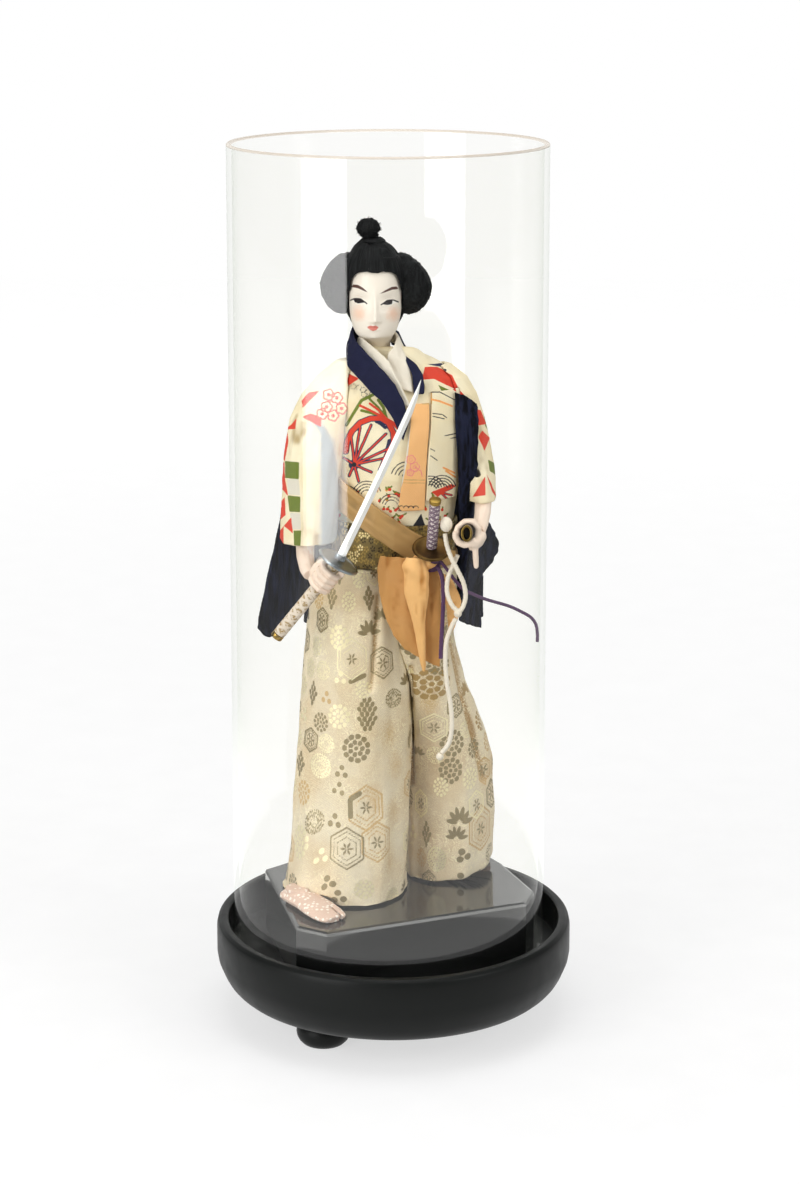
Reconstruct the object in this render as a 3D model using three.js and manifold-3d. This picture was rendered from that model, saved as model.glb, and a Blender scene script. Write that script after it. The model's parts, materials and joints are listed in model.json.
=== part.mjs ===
// A samurai doll on a lacquered plinth, standing in an open glass cylinder on a turned wooden base.
// Millimetres, +Z up. The origin is on the base's axis, on the table. The doll faces -Y.
// Everything from the plinth upwards is drawn in the doll's own space: its zero is the plinth's top.
import * as THREE from "three";
import { mergeVertices } from "three/addons/utils/BufferGeometryUtils.js";
import Module from "manifold-3d";

const wasm = await Module();
wasm.setup();

// Driving dimensions

const clearance = 0.3; // between pieces that touch
const roundSides = 36; // facets of the turned base
const glassSides = 40; // enough that a straight stretch between corners clears the plinth
const footSides = 12;
const torsoSides = 20; // facets round the body and what lies on it
const legSides = 26;
const sleeveSides = 18;

const footCount = 3;
const footHeight = 17; // of the base's underside above the table
const footRadius = 15;
const footRing = 62; // from the base's axis to a foot's axis
const footAngle = 232; // of the front left foot, in degrees from +X
const tenonRadius = 4.5;
const tenonLength = 9;

const baseHeight = 39; // from the underside to the rim
const recessDepth = 18;
const rimWidth = 6.6;
const rimGap = 5.9; // between the glass and the rim, all round a centred cylinder
const baseFootInset = 15.3; // the underside is this much smaller than the rim in radius

const glassRadius = 86.8;
const glassWall = 3;
const glassLength = 451.7;
const glassChamfer = 1.4;
const glassShift = -2.7; // the cylinder stands a little to the left in its recess

const plinthHeight = 34.7;
const plinthBevel = 2;
const plinthGap = 1.9; // least gap between the plinth's corners and the glass
// Corners of the plinth about the cylinder's axis: the direction in degrees, and how far the corner
// stays back from the glass
const plinthCorners = [
  [162, 8],
  [233.2, 0],
  [245.8, 0],
  [338.5, 0],
  [352, 0],
  [25.5, 9.5],
  [37.5, 9],
  [75, 4],
  [118, 15],
];

const postRadius = 3;
const postDepth = 12; // of a leg post in the plinth
const postTop = 214; // above the plinth
const postFeet = { right: [-50, -27], left: [21, 35] };
const postHips = { right: [-14, 0], left: [12, 2] };

const kimonoCloth = 1.6;
const frontCloth = 1.4; // of the left front and the lapel
const frontProud = 1.6; // their middle above the body
const rightMouthTop = 247; // heights where the sleeves' hollows end
const leftMouthTop = 257;
const coatCloth = 1.8;
const collarCloth = 1.6;
const underCollarCloth = 1.4;
const tailCloth = 1.2;
const hipHeight = 187; // of the hakama's top
const obiHeight = 25;
const obiCloth = 1.6;
const sashWidth = 15;
const sashCloth = 1.8;
const sashTilt = 34; // degrees, falling from the doll's right side to its left
const sashMiddle = 208; // height of the sash on the body's axis

const headCentre = -9.6; // the head stands a little to the left of the body
const chinRise = 6.8; // of the chin above the neck edge of the kimono's body
const neckRadius = 6.8;
const dowelRadius = 2.5;
const dowelFoot = 265; // of the hole that holds the neck's dowel in the body
const dowelReach = 18.2; // of the hole above the chin
const hairlineRise = 37.4; // of the hair over the forehead above the chin
const lobeRise = 28.5; // of the side lobes' middles above the chin
const wigCap = 1.1; // the wig's shell stands this far off the skull
const faceHalf = 13.4; // half width of the face between the hair

const guardPoint = [-29, -52, 199];
const pommelPoint = [-63, -40, 154];
const tipPoint = [16, -50, 296];
const gripHalfWidth = 3.4;
const gripHalfDepth = 2.8;
const guardRadius = 12;
const guardThickness = 1.6;
const pommelLength = 2.8;
const bladeHalfWidth = 2.3;
const bladeThickness = 1.5;
const bladeCollarLength = 4;

const shortGuardPoint = [20.6, -39.5, 203];
const shortTilt = 27; // degrees, the short sword leans to the front
const shortGripLength = 34;
const shortGripRadius = 2.9;
const shortGuardRadius = 10.5;
const shortScabbardLength = 45;
const shortScabbardRadius = 3.6;

const scabbardMouth = [39, -55, 215];
const scabbardEnd = [45.5, 55, 194];
const scabbardHalfWidth = 3.1;
const scabbardHalfHeight = 4.5;
const scabbardBore = 10; // depth of the hole in its mouth
const scabbardWall = 1.2;
const mouthRingLength = 1.4;

const fingerRadius = 1.9;

const whiteCordRadius = 1.3;
const purpleCordRadius = 0.95;
const dropCordRadius = 1.2;

// Finishes

const finish = (colour, roughness, metalness = 0) =>
  new THREE.MeshStandardMaterial({ color: colour, roughness, metalness });
const finishes = {
  blackWood: finish("#1c1e1d", 0.6),
  glass: finish("#eef2f0", 0.03),
  lacquer: finish("#0c0c0c", 0.2),
  wood: finish("#c9a87a", 0.7),
  brocade: finish("#e6dcc6", 0.6),
  goldBrocade: finish("#8d7a45", 0.45, 0.3),
  print: finish("#f2e6c4", 0.8),
  peach: finish("#fbc586", 0.8),
  navy: finish("#26294a", 0.85),
  crepe: finish("#22263a", 0.9),
  underCloth: finish("#f0e6d6", 0.85),
  sash: finish("#c9a46a", 0.7),
  sashTail: finish("#f2bf7d", 0.75),
  stuffing: finish("#cbb88f", 0.9),
  face: finish("#f3e9da", 0.35),
  skin: finish("#f3dcc8", 0.4),
  foot: finish("#dcb8ad", 0.8),
  hair: finish("#1c1e1e", 0.6),
  steel: finish("#f5f6f4", 0.25, 0.9),
  silver: finish("#8d98a0", 0.35, 0.8),
  grip: finish("#e9dbc9", 0.6),
  brass: finish("#c9a83a", 0.35, 0.9),
  bronze: finish("#7b6138", 0.45, 0.8),
  shortGrip: finish("#8f7a86", 0.7),
  scabbard: finish("#3b2c1d", 0.4),
  whiteCord: finish("#efe4d3", 0.8),
  purpleCord: finish("#5a3a5e", 0.8),
};

// Geometry helpers

const point = (x, y, z) => new THREE.Vector3(x, y, z);
const rad = THREE.MathUtils.degToRad;

/** A closed geometry as a solid, with its faces turned outwards. */
function solid(geometry) {
  const bare = geometry.clone();
  bare.deleteAttribute("normal");
  bare.deleteAttribute("uv");
  const merged = mergeVertices(bare, 1e-4);
  const triVerts = new Uint32Array(merged.index.array);
  const vertProperties = new Float32Array(merged.attributes.position.array);
  const build = () => new wasm.Manifold(new wasm.Mesh({ numProp: 3, vertProperties, triVerts }));
  const made = build();
  if (made.volume() > 0) return made;
  for (let i = 0; i < triVerts.length; i += 3) {
    [triVerts[i + 1], triVerts[i + 2]] = [triVerts[i + 2], triVerts[i + 1]];
  }
  return build();
}

/** The largest connected body of a solid, without the crumbs that a cut can leave. */
function largest(shape) {
  return shape.decompose().reduce((a, b) => (b.volume() > a.volume() ? b : a));
}

const joined = (shapes) => shapes.reduce((a, b) => a.add(b));
const cutBy = (shape, others) => largest(others.reduce((a, b) => a.subtract(b), shape));
const moved = (shape, matrix) => shape.transform(matrix.elements);

/** The matrix of a frame at a point, with its Z along a direction and its X nearest to a hint. */
function frameAt(origin, direction, hint = point(1, 0, 0)) {
  const z = direction.clone().normalize();
  const y = z.clone().cross(hint).normalize();
  const x = y.clone().cross(z);
  return new THREE.Matrix4().makeBasis(x, y, z).setPosition(origin);
}

function geometryOf(shape) {
  const mesh = shape.getMesh();
  const geometry = new THREE.BufferGeometry();
  geometry.setAttribute("position", new THREE.BufferAttribute(mesh.vertProperties, 3));
  geometry.setIndex(new THREE.BufferAttribute(mesh.triVerts, 1));
  geometry.computeVertexNormals();
  return geometry;
}

function latheSolid(profile, sides = roundSides) {
  const geometry = new THREE.LatheGeometry(profile.map(([r, z]) => new THREE.Vector2(r, z)), sides);
  return solid(geometry.rotateX(Math.PI / 2));
}

const boxSolid = (sx, sy, sz, x = 0, y = 0, z = 0) =>
  solid(new THREE.BoxGeometry(sx, sy, sz).translate(x, y, z));

const cylinderSolid = (radius, length, sides = 24) =>
  solid(new THREE.CylinderGeometry(radius, radius, length, sides).rotateX(Math.PI / 2));

/** A straight round rod between two points. */
function rod(from, to, radius, sides = 12) {
  const along = to.clone().sub(from);
  const middle = from.clone().add(to).multiplyScalar(0.5);
  return moved(cylinderSolid(radius, along.length(), sides), frameAt(middle, along));
}

const ellipsoid = (centre, radii, sides = 14, rows = 8) =>
  solid(new THREE.SphereGeometry(1, sides, rows).rotateX(Math.PI / 2).scale(...radii).translate(...centre));

/** Rings of points, each ring counter-clockwise from above and the lowest first, as a closed skin. */
function ringSkin(rings) {
  const sides = rings[0].length;
  const positions = rings.flat().flatMap((p) => [p.x, p.y, p.z]);
  const index = [];
  for (let i = 0; i + 1 < rings.length; i++) {
    for (let j = 0; j < sides; j++) {
      const a = i * sides + j;
      const b = i * sides + ((j + 1) % sides);
      index.push(a, b, b + sides, a, b + sides, a + sides);
    }
  }
  const addCap = (ring, first, top) => {
    const centre = ring.reduce((sum, p) => sum.add(p), point(0, 0, 0)).multiplyScalar(1 / sides);
    const hub = positions.length / 3;
    positions.push(centre.x, centre.y, centre.z);
    for (let j = 0; j < sides; j++) {
      const a = first + j;
      const b = first + ((j + 1) % sides);
      if (top) index.push(hub, a, b);
      else index.push(hub, b, a);
    }
  };
  addCap(rings[0], 0, false);
  addCap(rings.at(-1), (rings.length - 1) * sides, true);
  const geometry = new THREE.BufferGeometry();
  geometry.setAttribute("position", new THREE.Float32BufferAttribute(positions, 3));
  geometry.setIndex(index);
  return geometry;
}

/** A smooth curve through rows of numbers, read at t from 0 to 1. */
function between(rows, t) {
  const at = t * (rows.length - 1);
  const i = Math.min(Math.floor(at), rows.length - 2);
  const f = at - i;
  const row = (k) => rows[Math.min(Math.max(k, 0), rows.length - 1)];
  return rows[0].map((_, c) => {
    const [p0, p1, p2, p3] = [row(i - 1)[c], row(i)[c], row(i + 1)[c], row(i + 2)[c]];
    const slope1 = (p2 - p0) / 2;
    const slope2 = (p3 - p1) / 2;
    const rise = p2 - p1;
    return p1 + f * (slope1 + f * (3 * rise - 2 * slope1 - slope2 + f * (slope1 + slope2 - 2 * rise)));
  });
}

/**
 * A body of oval level sections. A section is [height, x, y, half width, half depth]. shape(angle, height)
 * gives what is added to the radius there, and grow makes the whole body larger all round.
 */
function ovalBody(sections, { sides = 36, steps = 12, grow = 0, shape = () => 0, lift = () => 0 } = {}) {
  const rings = [];
  for (let i = 0; i <= steps; i++) {
    const t = i / steps;
    const [z, x, y, rx, ry] = between(sections, t);
    const ring = [];
    for (let j = 0; j < sides; j++) {
      const angle = (2 * Math.PI * j) / sides;
      const add = grow + shape(angle, z);
      const end = i === 0 ? -grow : i === steps ? grow : 0;
      const px = x + (rx + add) * Math.cos(angle);
      const py = y + (ry + add) * Math.sin(angle);
      ring.push(point(px, py, z + end + lift(angle, t)));
    }
    rings.push(ring);
  }
  return solid(ringSkin(rings));
}

/** A limb along points [x, y, z, half width, half depth], whose width lies nearest to the hint. */
function limb(points, { sides = 12, steps = 8, grow = 0, hint = point(1, 0, 0) } = {}) {
  const at = (t) => between(points, t);
  const rings = [];
  for (let i = 0; i <= steps; i++) {
    const t = i / steps;
    const [x, y, z, half, depth] = at(t);
    const ahead = point(...at(Math.min(t + 0.01, 1)));
    const behind = point(...at(Math.max(t - 0.01, 0)));
    const along = ahead.sub(behind).normalize();
    const end = i === 0 ? -grow : i === steps ? grow : 0;
    const frame = frameAt(point(x, y, z).addScaledVector(along, end), along, hint);
    const ring = [];
    for (let j = 0; j < sides; j++) {
      const angle = (2 * Math.PI * j) / sides;
      const p = point((half + grow) * Math.cos(angle), (depth + grow) * Math.sin(angle), 0);
      ring.push(p.applyMatrix4(frame));
    }
    rings.push(ring);
  }
  return solid(ringSkin(rings));
}

/** A round cord along points, as an extruded section. */
function cord(points, radius, { sides = 8, steps = 20 } = {}) {
  const section = new THREE.Shape(
    Array.from({ length: sides }, (_, i) => {
      const angle = (2 * Math.PI * i) / sides;
      return new THREE.Vector2(radius * Math.cos(angle), radius * Math.sin(angle));
    }),
  );
  const path = new THREE.CatmullRomCurve3(points.map((p) => point(...p)), false, "centripetal");
  return solid(new THREE.ExtrudeGeometry(section, { steps, extrudePath: path }));
}

/**
 * A sheet of cloth through rows of points, thickened to both sides. nu and nv are the steps along and
 * across the rows, and ripple(u, v) moves the sheet along its normal.
 */
function sheet(rows, thickness, { nu = 10, nv = 8, grow = 0, ripple = () => 0 } = {}) {
  const flatRows = rows.map((row) => row.flat());
  const columns = rows[0].length;
  const rowAt = (v) => {
    const flat = between(flatRows, v);
    return Array.from({ length: columns }, (_, c) => flat.slice(3 * c, 3 * c + 3));
  };
  const grid = [];
  for (let i = 0; i <= nv; i++) {
    const row = rowAt(i / nv);
    grid.push(Array.from({ length: nu + 1 }, (_, j) => point(...between(row, j / nu))));
  }
  const clampRow = (i) => Math.min(Math.max(i, 0), nv);
  const clampColumn = (j) => Math.min(Math.max(j, 0), nu);
  const across = (i, j) => grid[i][clampColumn(j + 1)].clone().sub(grid[i][clampColumn(j - 1)]).normalize();
  const down = (i, j) => grid[clampRow(i + 1)][j].clone().sub(grid[clampRow(i - 1)][j]).normalize();
  const sideOf = (k, n) => (k === 0 ? -1 : k === n ? 1 : 0);
  const front = [];
  const back = [];
  for (let i = 0; i <= nv; i++) {
    for (let j = 0; j <= nu; j++) {
      const normal = across(i, j).cross(down(i, j)).normalize();
      const middle = grid[i][j].clone();
      middle.addScaledVector(normal, ripple(j / nu, i / nv));
      middle.addScaledVector(across(i, j), grow * sideOf(j, nu));
      middle.addScaledVector(down(i, j), grow * sideOf(i, nv));
      front.push(middle.clone().addScaledVector(normal, thickness / 2 + grow));
      back.push(middle.clone().addScaledVector(normal, -thickness / 2 - grow));
    }
  }
  const positions = [...front, ...back].flatMap((p) => [p.x, p.y, p.z]);
  const total = front.length;
  const id = (i, j) => i * (nu + 1) + j;
  const index = [];
  for (let i = 0; i < nv; i++) {
    for (let j = 0; j < nu; j++) {
      const [a, b, c, d] = [id(i, j), id(i, j + 1), id(i + 1, j + 1), id(i + 1, j)];
      index.push(a, b, c, a, c, d);
      index.push(total + a, total + c, total + b, total + a, total + d, total + c);
    }
  }
  const edge = [];
  for (let j = 0; j < nu; j++) edge.push(id(0, j));
  for (let i = 0; i < nv; i++) edge.push(id(i, nu));
  for (let j = nu; j > 0; j--) edge.push(id(nv, j));
  for (let i = nv; i > 0; i--) edge.push(id(i, 0));
  edge.forEach((a, k) => {
    const b = edge[(k + 1) % edge.length];
    index.push(b, a, total + a, b, total + a, total + b);
  });
  const geometry = new THREE.BufferGeometry();
  geometry.setAttribute("position", new THREE.Float32BufferAttribute(positions, 3));
  geometry.setIndex(index);
  return solid(geometry);
}

// Scene graph

const root = new THREE.Group();
const glassGroup = new THREE.Group();
const dollGroup = new THREE.Group();
const recessFloor = footHeight + baseHeight - recessDepth;
glassGroup.position.set(glassShift, 0, recessFloor + clearance);
dollGroup.position.set(0, 0, recessFloor + clearance + plinthHeight);
root.add(glassGroup, dollGroup);

function place(group, name, shape, material) {
  const mesh = new THREE.Mesh(geometryOf(shape), material);
  mesh.name = name;
  group.add(mesh);
}

// Turned base and its bun feet

function bunFoot() {
  const shoulder = footHeight - clearance;
  return latheSolid(
    [
      [0, 0],
      [footRadius * 0.62, 0],
      [footRadius * 0.9, shoulder * 0.16],
      [footRadius, shoulder * 0.42],
      [footRadius * 0.93, shoulder * 0.68],
      [footRadius * 0.66, shoulder * 0.86],
      [footRadius * 0.6, shoulder],
      [tenonRadius, shoulder],
      [tenonRadius, shoulder + tenonLength],
      [0, shoulder + tenonLength],
    ],
    footSides,
  );
}

function footPlaces() {
  return Array.from({ length: footCount }, (_, i) => {
    const angle = rad(footAngle + (360 / footCount) * i);
    return [footRing * Math.cos(angle), footRing * Math.sin(angle)];
  });
}

function turnedBase() {
  const inner = glassRadius + rimGap;
  const outer = inner + rimWidth;
  const underside = outer - baseFootInset;
  const top = footHeight + baseHeight;
  const bulge = (inset, z) => [outer - inset, footHeight + z];
  const body = latheSolid([
    [0, footHeight],
    [underside, footHeight],
    bulge(baseFootInset * 0.62, baseHeight * 0.05),
    bulge(baseFootInset * 0.34, baseHeight * 0.16),
    bulge(baseFootInset * 0.15, baseHeight * 0.31),
    bulge(0, baseHeight * 0.52),
    bulge(0, baseHeight * 0.88),
    [outer - 0.7, top - 1.6],
    [outer - 2.4, top],
    [inner + 1, top],
    [inner, top - 1],
    [inner, recessFloor],
    [0, recessFloor],
  ]);
  const socketDepth = tenonLength + clearance;
  const sockets = footPlaces().map(([x, y]) =>
    cylinderSolid(tenonRadius + clearance, 2 * socketDepth, footSides).translate([x, y, footHeight]),
  );
  return cutBy(body, sockets);
}

place(root, "turned_base", turnedBase(), finishes.blackWood);
footPlaces().forEach(([x, y], i) => {
  const mesh = new THREE.Mesh(geometryOf(bunFoot()), finishes.blackWood);
  mesh.name = "bun_foot_" + (i + 1);
  mesh.position.set(x, y, 0);
  root.add(mesh);
});

// Glass cylinder

const glassBore = glassRadius - glassWall;
place(
  glassGroup,
  "glass_cylinder",
  latheSolid([
    [glassBore, 0],
    [glassRadius, 0],
    [glassRadius, glassLength - glassChamfer / 2],
    [glassRadius - glassChamfer / 2, glassLength],
    [glassBore + glassChamfer, glassLength],
    [glassBore, glassLength - glassChamfer],
    [glassBore, 0],
  ], glassSides),
  finishes.glass,
);

// Plinth, with a socket for each leg post

const footPoint = (side) => point(...postFeet[side], -postDepth);
const hipPoint = (side) => point(...postHips[side], postTop);
const post = (side, grow = 0) => {
  const along = hipPoint(side).sub(footPoint(side)).normalize();
  const from = footPoint(side).addScaledVector(along, -grow);
  const to = hipPoint(side).addScaledVector(along, grow);
  return rod(from, to, postRadius + grow);
};
const postHoles = ["right", "left"].map((side) => post(side, clearance));

function plinthBoard() {
  const reach = glassBore - plinthGap - plinthBevel;
  const corners = plinthCorners.map(([degrees, back]) => {
    const r = reach - back;
    return new THREE.Vector2(glassShift + r * Math.cos(rad(degrees)), r * Math.sin(rad(degrees)));
  });
  const bevel = { bevelThickness: plinthBevel, bevelSize: plinthBevel, bevelSegments: 2 };
  const depth = plinthHeight;
  const blank = new THREE.ExtrudeGeometry(new THREE.Shape(corners), { depth, ...bevel });
  const board = solid(blank.translate(0, 0, -plinthHeight - plinthBevel));
  const under = boxSolid(4 * glassRadius, 4 * glassRadius, plinthHeight, 0, 0, -1.5 * plinthHeight);
  return cutBy(board, [under, ...postHoles]);
}

place(dollGroup, "plinth", plinthBoard(), finishes.lacquer);
place(dollGroup, "leg_post_right", post("right"), finishes.wood);
place(dollGroup, "leg_post_left", post("left"), finishes.wood);

// Feet with split toes, flat on the plinth

/** A foot from heel to toe, given as [x, y], with the toe split this far from the middle line. */
function tabiFoot(heel, toe, split, grow = 0) {
  const along = point(toe[0] - heel[0], toe[1] - heel[1], 0);
  const at = (t, z, half, depth) => [heel[0] + along.x * t, heel[1] + along.y * t, z, half, depth];
  const hint = along.clone().cross(point(0, 0, 1)).normalize();
  const body = limb(
    [
      at(0, 5, 6, 5),
      at(0.1, 6.5, 8, 7),
      at(0.35, 7.5, 8.4, 8),
      at(0.68, 5.5, 10.2, 6.4),
      at(0.9, 4, 9.4, 4.6),
      at(1, 3.4, 6.4, 3.2),
    ],
    { sides: 10, steps: 7, grow, hint },
  );
  const ankle = rod(point(...at(0.2, 6)), point(...at(0.2, 17)), 7 + grow, 10);
  const slit = boxSolid(1.4, 15, 30).transform(
    new THREE.Matrix4().makeRotationZ(Math.atan2(along.y, along.x) - Math.PI / 2).elements,
  );
  const slitPlace = point(...at(0.92, 4)).addScaledVector(hint, split);
  const sole = boxSolid(200, 200, 40, 0, 0, clearance - grow - 20);
  const whole = body.add(ankle).subtract(sole);
  return grow > 0 ? whole : whole.subtract(slit.translate([slitPlace.x, slitPlace.y, slitPlace.z]));
}

const rightFoot = (grow = 0) => tabiFoot([-58, -17], [-31, -53], -3.4, grow);
const leftFoot = (grow = 0) => tabiFoot([12, 34], [55, 41], -3.4, grow);
place(dollGroup, "foot_right", cutBy(rightFoot(), [postHoles[0]]), finishes.foot);
place(dollGroup, "foot_left", cutBy(leftFoot(), [postHoles[1]]), finishes.foot);

// Hakama: two stuffed legs that meet at the middle seam

const rightLegSections = [
  [2.8, -27.3, -8, 35, 32],
  [43, -24, -7, 32.2, 31],
  [77, -22, -5, 31.5, 30],
  [108, -20, -4, 30.9, 30],
  [137, -20, -3, 28.3, 29],
  [164, -21, -1.5, 25.5, 27],
  [hipHeight, -20, 0, 23, 25],
];
const leftLegSections = [
  [4, 31, 26, 26, 29],
  [40, 31.4, 26, 26, 29.5],
  [74, 28, 23, 26, 29],
  [97, 20.5, 18, 26, 29],
  [132, 10, 10, 25, 27.5],
  [164, 10, 3, 25, 27],
  [hipHeight, 10, 1, 25, 25],
];
const legFold = (angle, z) =>
  (0.9 * Math.sin(5 * angle + z / 26) + 0.6 * Math.sin(9 * angle - z / 17)) * (1 - z / (1.3 * hipHeight));
const leftHem = (angle, t) => (1 - t) ** 4 * 5 * (1 + Math.cos(angle));
const rightLeg = (grow = 0) =>
  ovalBody(rightLegSections, { sides: legSides, steps: 7, grow, shape: legFold });
const leftLeg = (grow = 0) =>
  ovalBody(leftLegSections, { sides: legSides, steps: 7, grow, shape: legFold, lift: leftHem });

// Body: stuffed core in the kimono's body

const torsoSections = [
  [hipHeight + clearance, -1, 0, 32, 24],
  [195, 0, -0.5, 32, 24.5],
  [212, 1, -1, 32.5, 25],
  [237, 3, -3, 34, 26],
  [262, 4, -3, 34.5, 26],
  [279, 3.5, -2, 34.5, 24],
  [290, 2, -0.5, 32, 20.5],
  [297, 0, 1, 27, 16.5],
  [302, -3, 2, 20, 13],
  [305, -6, 3, 13, 11],
];
const neckEdge = torsoSections.at(-1)[0];
const chinHeight = neckEdge + chinRise;
const torso = (grow = 0, sides = torsoSides) => ovalBody(torsoSections, { sides, steps: 9, grow });
const torsoAbove = (floor, grow) => torso(grow).subtract(boxSolid(300, 300, 200, 0, 0, floor - 100));

/** The point on the front of the kimono's body at x and height z, this far proud of it. */
function onChest(x, z, proud) {
  const heights = torsoSections.map((section) => section[0]);
  const above = Math.max(1, heights.findIndex((height) => height >= z));
  const [low, high] = [torsoSections[above - 1], torsoSections[above]];
  const f = (z - low[0]) / (high[0] - low[0]);
  const [, cx, cy, rx, ry] = low.map((value, i) => value + f * (high[i] - value));
  const share = Math.min(Math.abs(x - cx) / (rx + proud), 0.98);
  return [x, cy - (ry + proud) * Math.sqrt(1 - share * share), z];
}

// Head, neck and wig

const headSections = [
  [neckEdge - 8, -8.2, 2, neckRadius, neckRadius],
  [neckEdge + 1, -8.4, 1.5, neckRadius, neckRadius],
  [chinHeight - 0.6, -9, -1, 8.4, 9],
  [chinHeight + 1.4, headCentre, -3, 10, 13],
  [chinHeight + 5, headCentre, -3, 12, 15],
  [chinHeight + 11, headCentre, -2.5, 13.6, 16.3],
  [chinHeight + 19, headCentre, -2, 14.5, 17],
  [chinHeight + 28, headCentre, -1.5, 14.7, 17.4],
  [chinHeight + 38, headCentre, -1, 14, 17],
  [chinHeight + 46, headCentre, -0.5, 11.2, 13.6],
  [chinHeight + 51, headCentre, 0, 6.5, 8],
];
const bump = (value, middle, spread) => Math.exp(-(((value - middle) / spread) ** 2));
const faceRelief = (angle, z) => {
  const side = Math.cos(angle) * 14.5;
  if (Math.sin(angle) > -0.3) return 0;
  const h = z - chinHeight;
  const nose = 2.6 * bump(h, 11.5, 2.6) + 1.2 * bump(h, 17, 4.5);
  const lips = 0.8 * bump(h, 6.3, 1.8) * bump(side, 0, 4.5);
  const chin = 0.9 * bump(h, 1.5, 2.2) * bump(side, 0, 5);
  const sockets = -1.1 * bump(h, 21, 3) * (bump(side, 6.5, 4) + bump(side, -6.5, 4));
  return nose * bump(side, 0, 2.4) + lips + chin + sockets;
};
const skull = (grow) => ovalBody(headSections, { sides: 16, steps: 9, grow });
const head = (grow = 0) =>
  ovalBody(headSections, { sides: 24, steps: 16, grow, shape: faceRelief });

const hairSections = [
  [chinHeight + 5.2, headCentre, 9, 12.5, 9],
  [chinHeight + 14.2, headCentre, 4, 16.6, 15.5],
  [chinHeight + 24.2, headCentre, 1, 17.4, 19.2],
  [chinHeight + 34.2, headCentre, 0, 17.6, 20],
  [chinHeight + 41.2, headCentre - 0.4, 0, 15.6, 18.6],
  [chinHeight + 48.2, headCentre - 1, 0.5, 11.6, 14.6],
  [chinHeight + 53.8, headCentre - 1.6, 1, 5, 7],
];
const hairDome = (grow = 0) => ovalBody(hairSections, { sides: 16, steps: 7, grow });
const lobes = {
  right: [[headCentre - 17.4, 3, chinHeight + lobeRise], [13, 13, 17]],
  left: [[headCentre + 17.8, 3, chinHeight + lobeRise], [13.3, 13, 17]],
};
const lobe = (side, grow = 0) => ellipsoid(lobes[side][0], lobes[side][1].map((r) => r + grow), 12, 8);
const backHair = (grow = 0) =>
  ellipsoid([headCentre, 19, chinHeight + 21.2], [15 + grow, 9 + grow, 14 + grow], 12, 8);
const knotBall = ellipsoid([headCentre - 3.9, 0, chinHeight + 59], [6, 6, 5.9], 12, 8);
const knotStem = rod(
  point(headCentre - 2, 1.5, chinHeight + 51.2), point(headCentre - 3, 0.6, chinHeight + 59.2), 2.9, 12);
const topTie = (grow = 0) =>
  solid(new THREE.TorusGeometry(3.1, 0.9 + grow, 6, 12).translate(headCentre - 2, 1.5, chinHeight + 55.1));

const faceWindow = (() => {
  const outline = new THREE.Shape();
  outline.moveTo(-faceHalf, -60);
  outline.lineTo(faceHalf, -60);
  outline.lineTo(faceHalf, -9);
  outline.quadraticCurveTo(faceHalf, 0, faceHalf - 9, 0.2);
  outline.quadraticCurveTo(0, -1.4, 9 - faceHalf, 0.2);
  outline.quadraticCurveTo(-faceHalf, 0, -faceHalf, -9);
  const cutter = new THREE.ExtrudeGeometry(outline, { depth: 40, bevelEnabled: false, curveSegments: 4 });
  return solid(cutter.rotateX(Math.PI / 2).translate(headCentre, -6, chinHeight + hairlineRise));
})();
const neckRod = (radius, back) => {
  const foot = point(headCentre + 1.4, 2, dowelFoot + back);
  const top = point(headCentre + 1, 0, chinHeight + dowelReach - back);
  return rod(foot, top, radius, 12);
};
const neckHole = neckRod(dowelRadius + clearance, 0);
const dowel = neckRod(dowelRadius, 2 * clearance);

// Swords

const unit = (from, to) => point(...to).sub(point(...from)).normalize();
const gripAxis = unit(pommelPoint, guardPoint);
const bladeAxis = unit(guardPoint, tipPoint);
const gripLength = point(...guardPoint).distanceTo(point(...pommelPoint));
const bladeLength = point(...guardPoint).distanceTo(point(...tipPoint));
const towardsViewer = point(0, -1, 0);
const gripFrame = frameAt(point(...guardPoint), gripAxis, towardsViewer);
const guardAxis = gripAxis.clone().add(bladeAxis);
const guardFrame = frameAt(point(...guardPoint), guardAxis, towardsViewer);

/** A straight bar of oval section along a frame's Z. */
const bar = (frame, from, to, halfX, halfY, sides, grow = 0) =>
  moved(limb([[0, 0, from, halfX, halfY], [0, 0, to, halfX, halfY]], { sides, steps: 1, grow }), frame);

const katanaGrip = (grow = 0) =>
  bar(gripFrame, -gripLength + pommelLength + clearance, 0, gripHalfDepth, gripHalfWidth, 16, grow);
const katanaPommel = () =>
  bar(gripFrame, -gripLength, -gripLength + pommelLength, gripHalfDepth, gripHalfWidth, 16);

/** A round guard with a raised edge, in its own frame. */
function guardDisc(radius, hollow) {
  const half = guardThickness / 2;
  return latheSolid(
    [
      [0, -half],
      [radius - 0.6, -half],
      [radius, -half / 2],
      [radius, half / 2],
      [radius - 0.6, half],
      [radius - 2, half],
      [radius - 2.4, half - hollow],
      [0, half - hollow],
    ],
    18,
  );
}
const guardSlab = latheSolid(
  [
    [0, -guardThickness / 2 - clearance],
    [guardRadius + 1, -guardThickness / 2 - clearance],
    [guardRadius + 1, guardThickness / 2 + clearance],
    [0, guardThickness / 2 + clearance],
  ],
  24,
);
const guardCut = moved(guardSlab, guardFrame);

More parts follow.
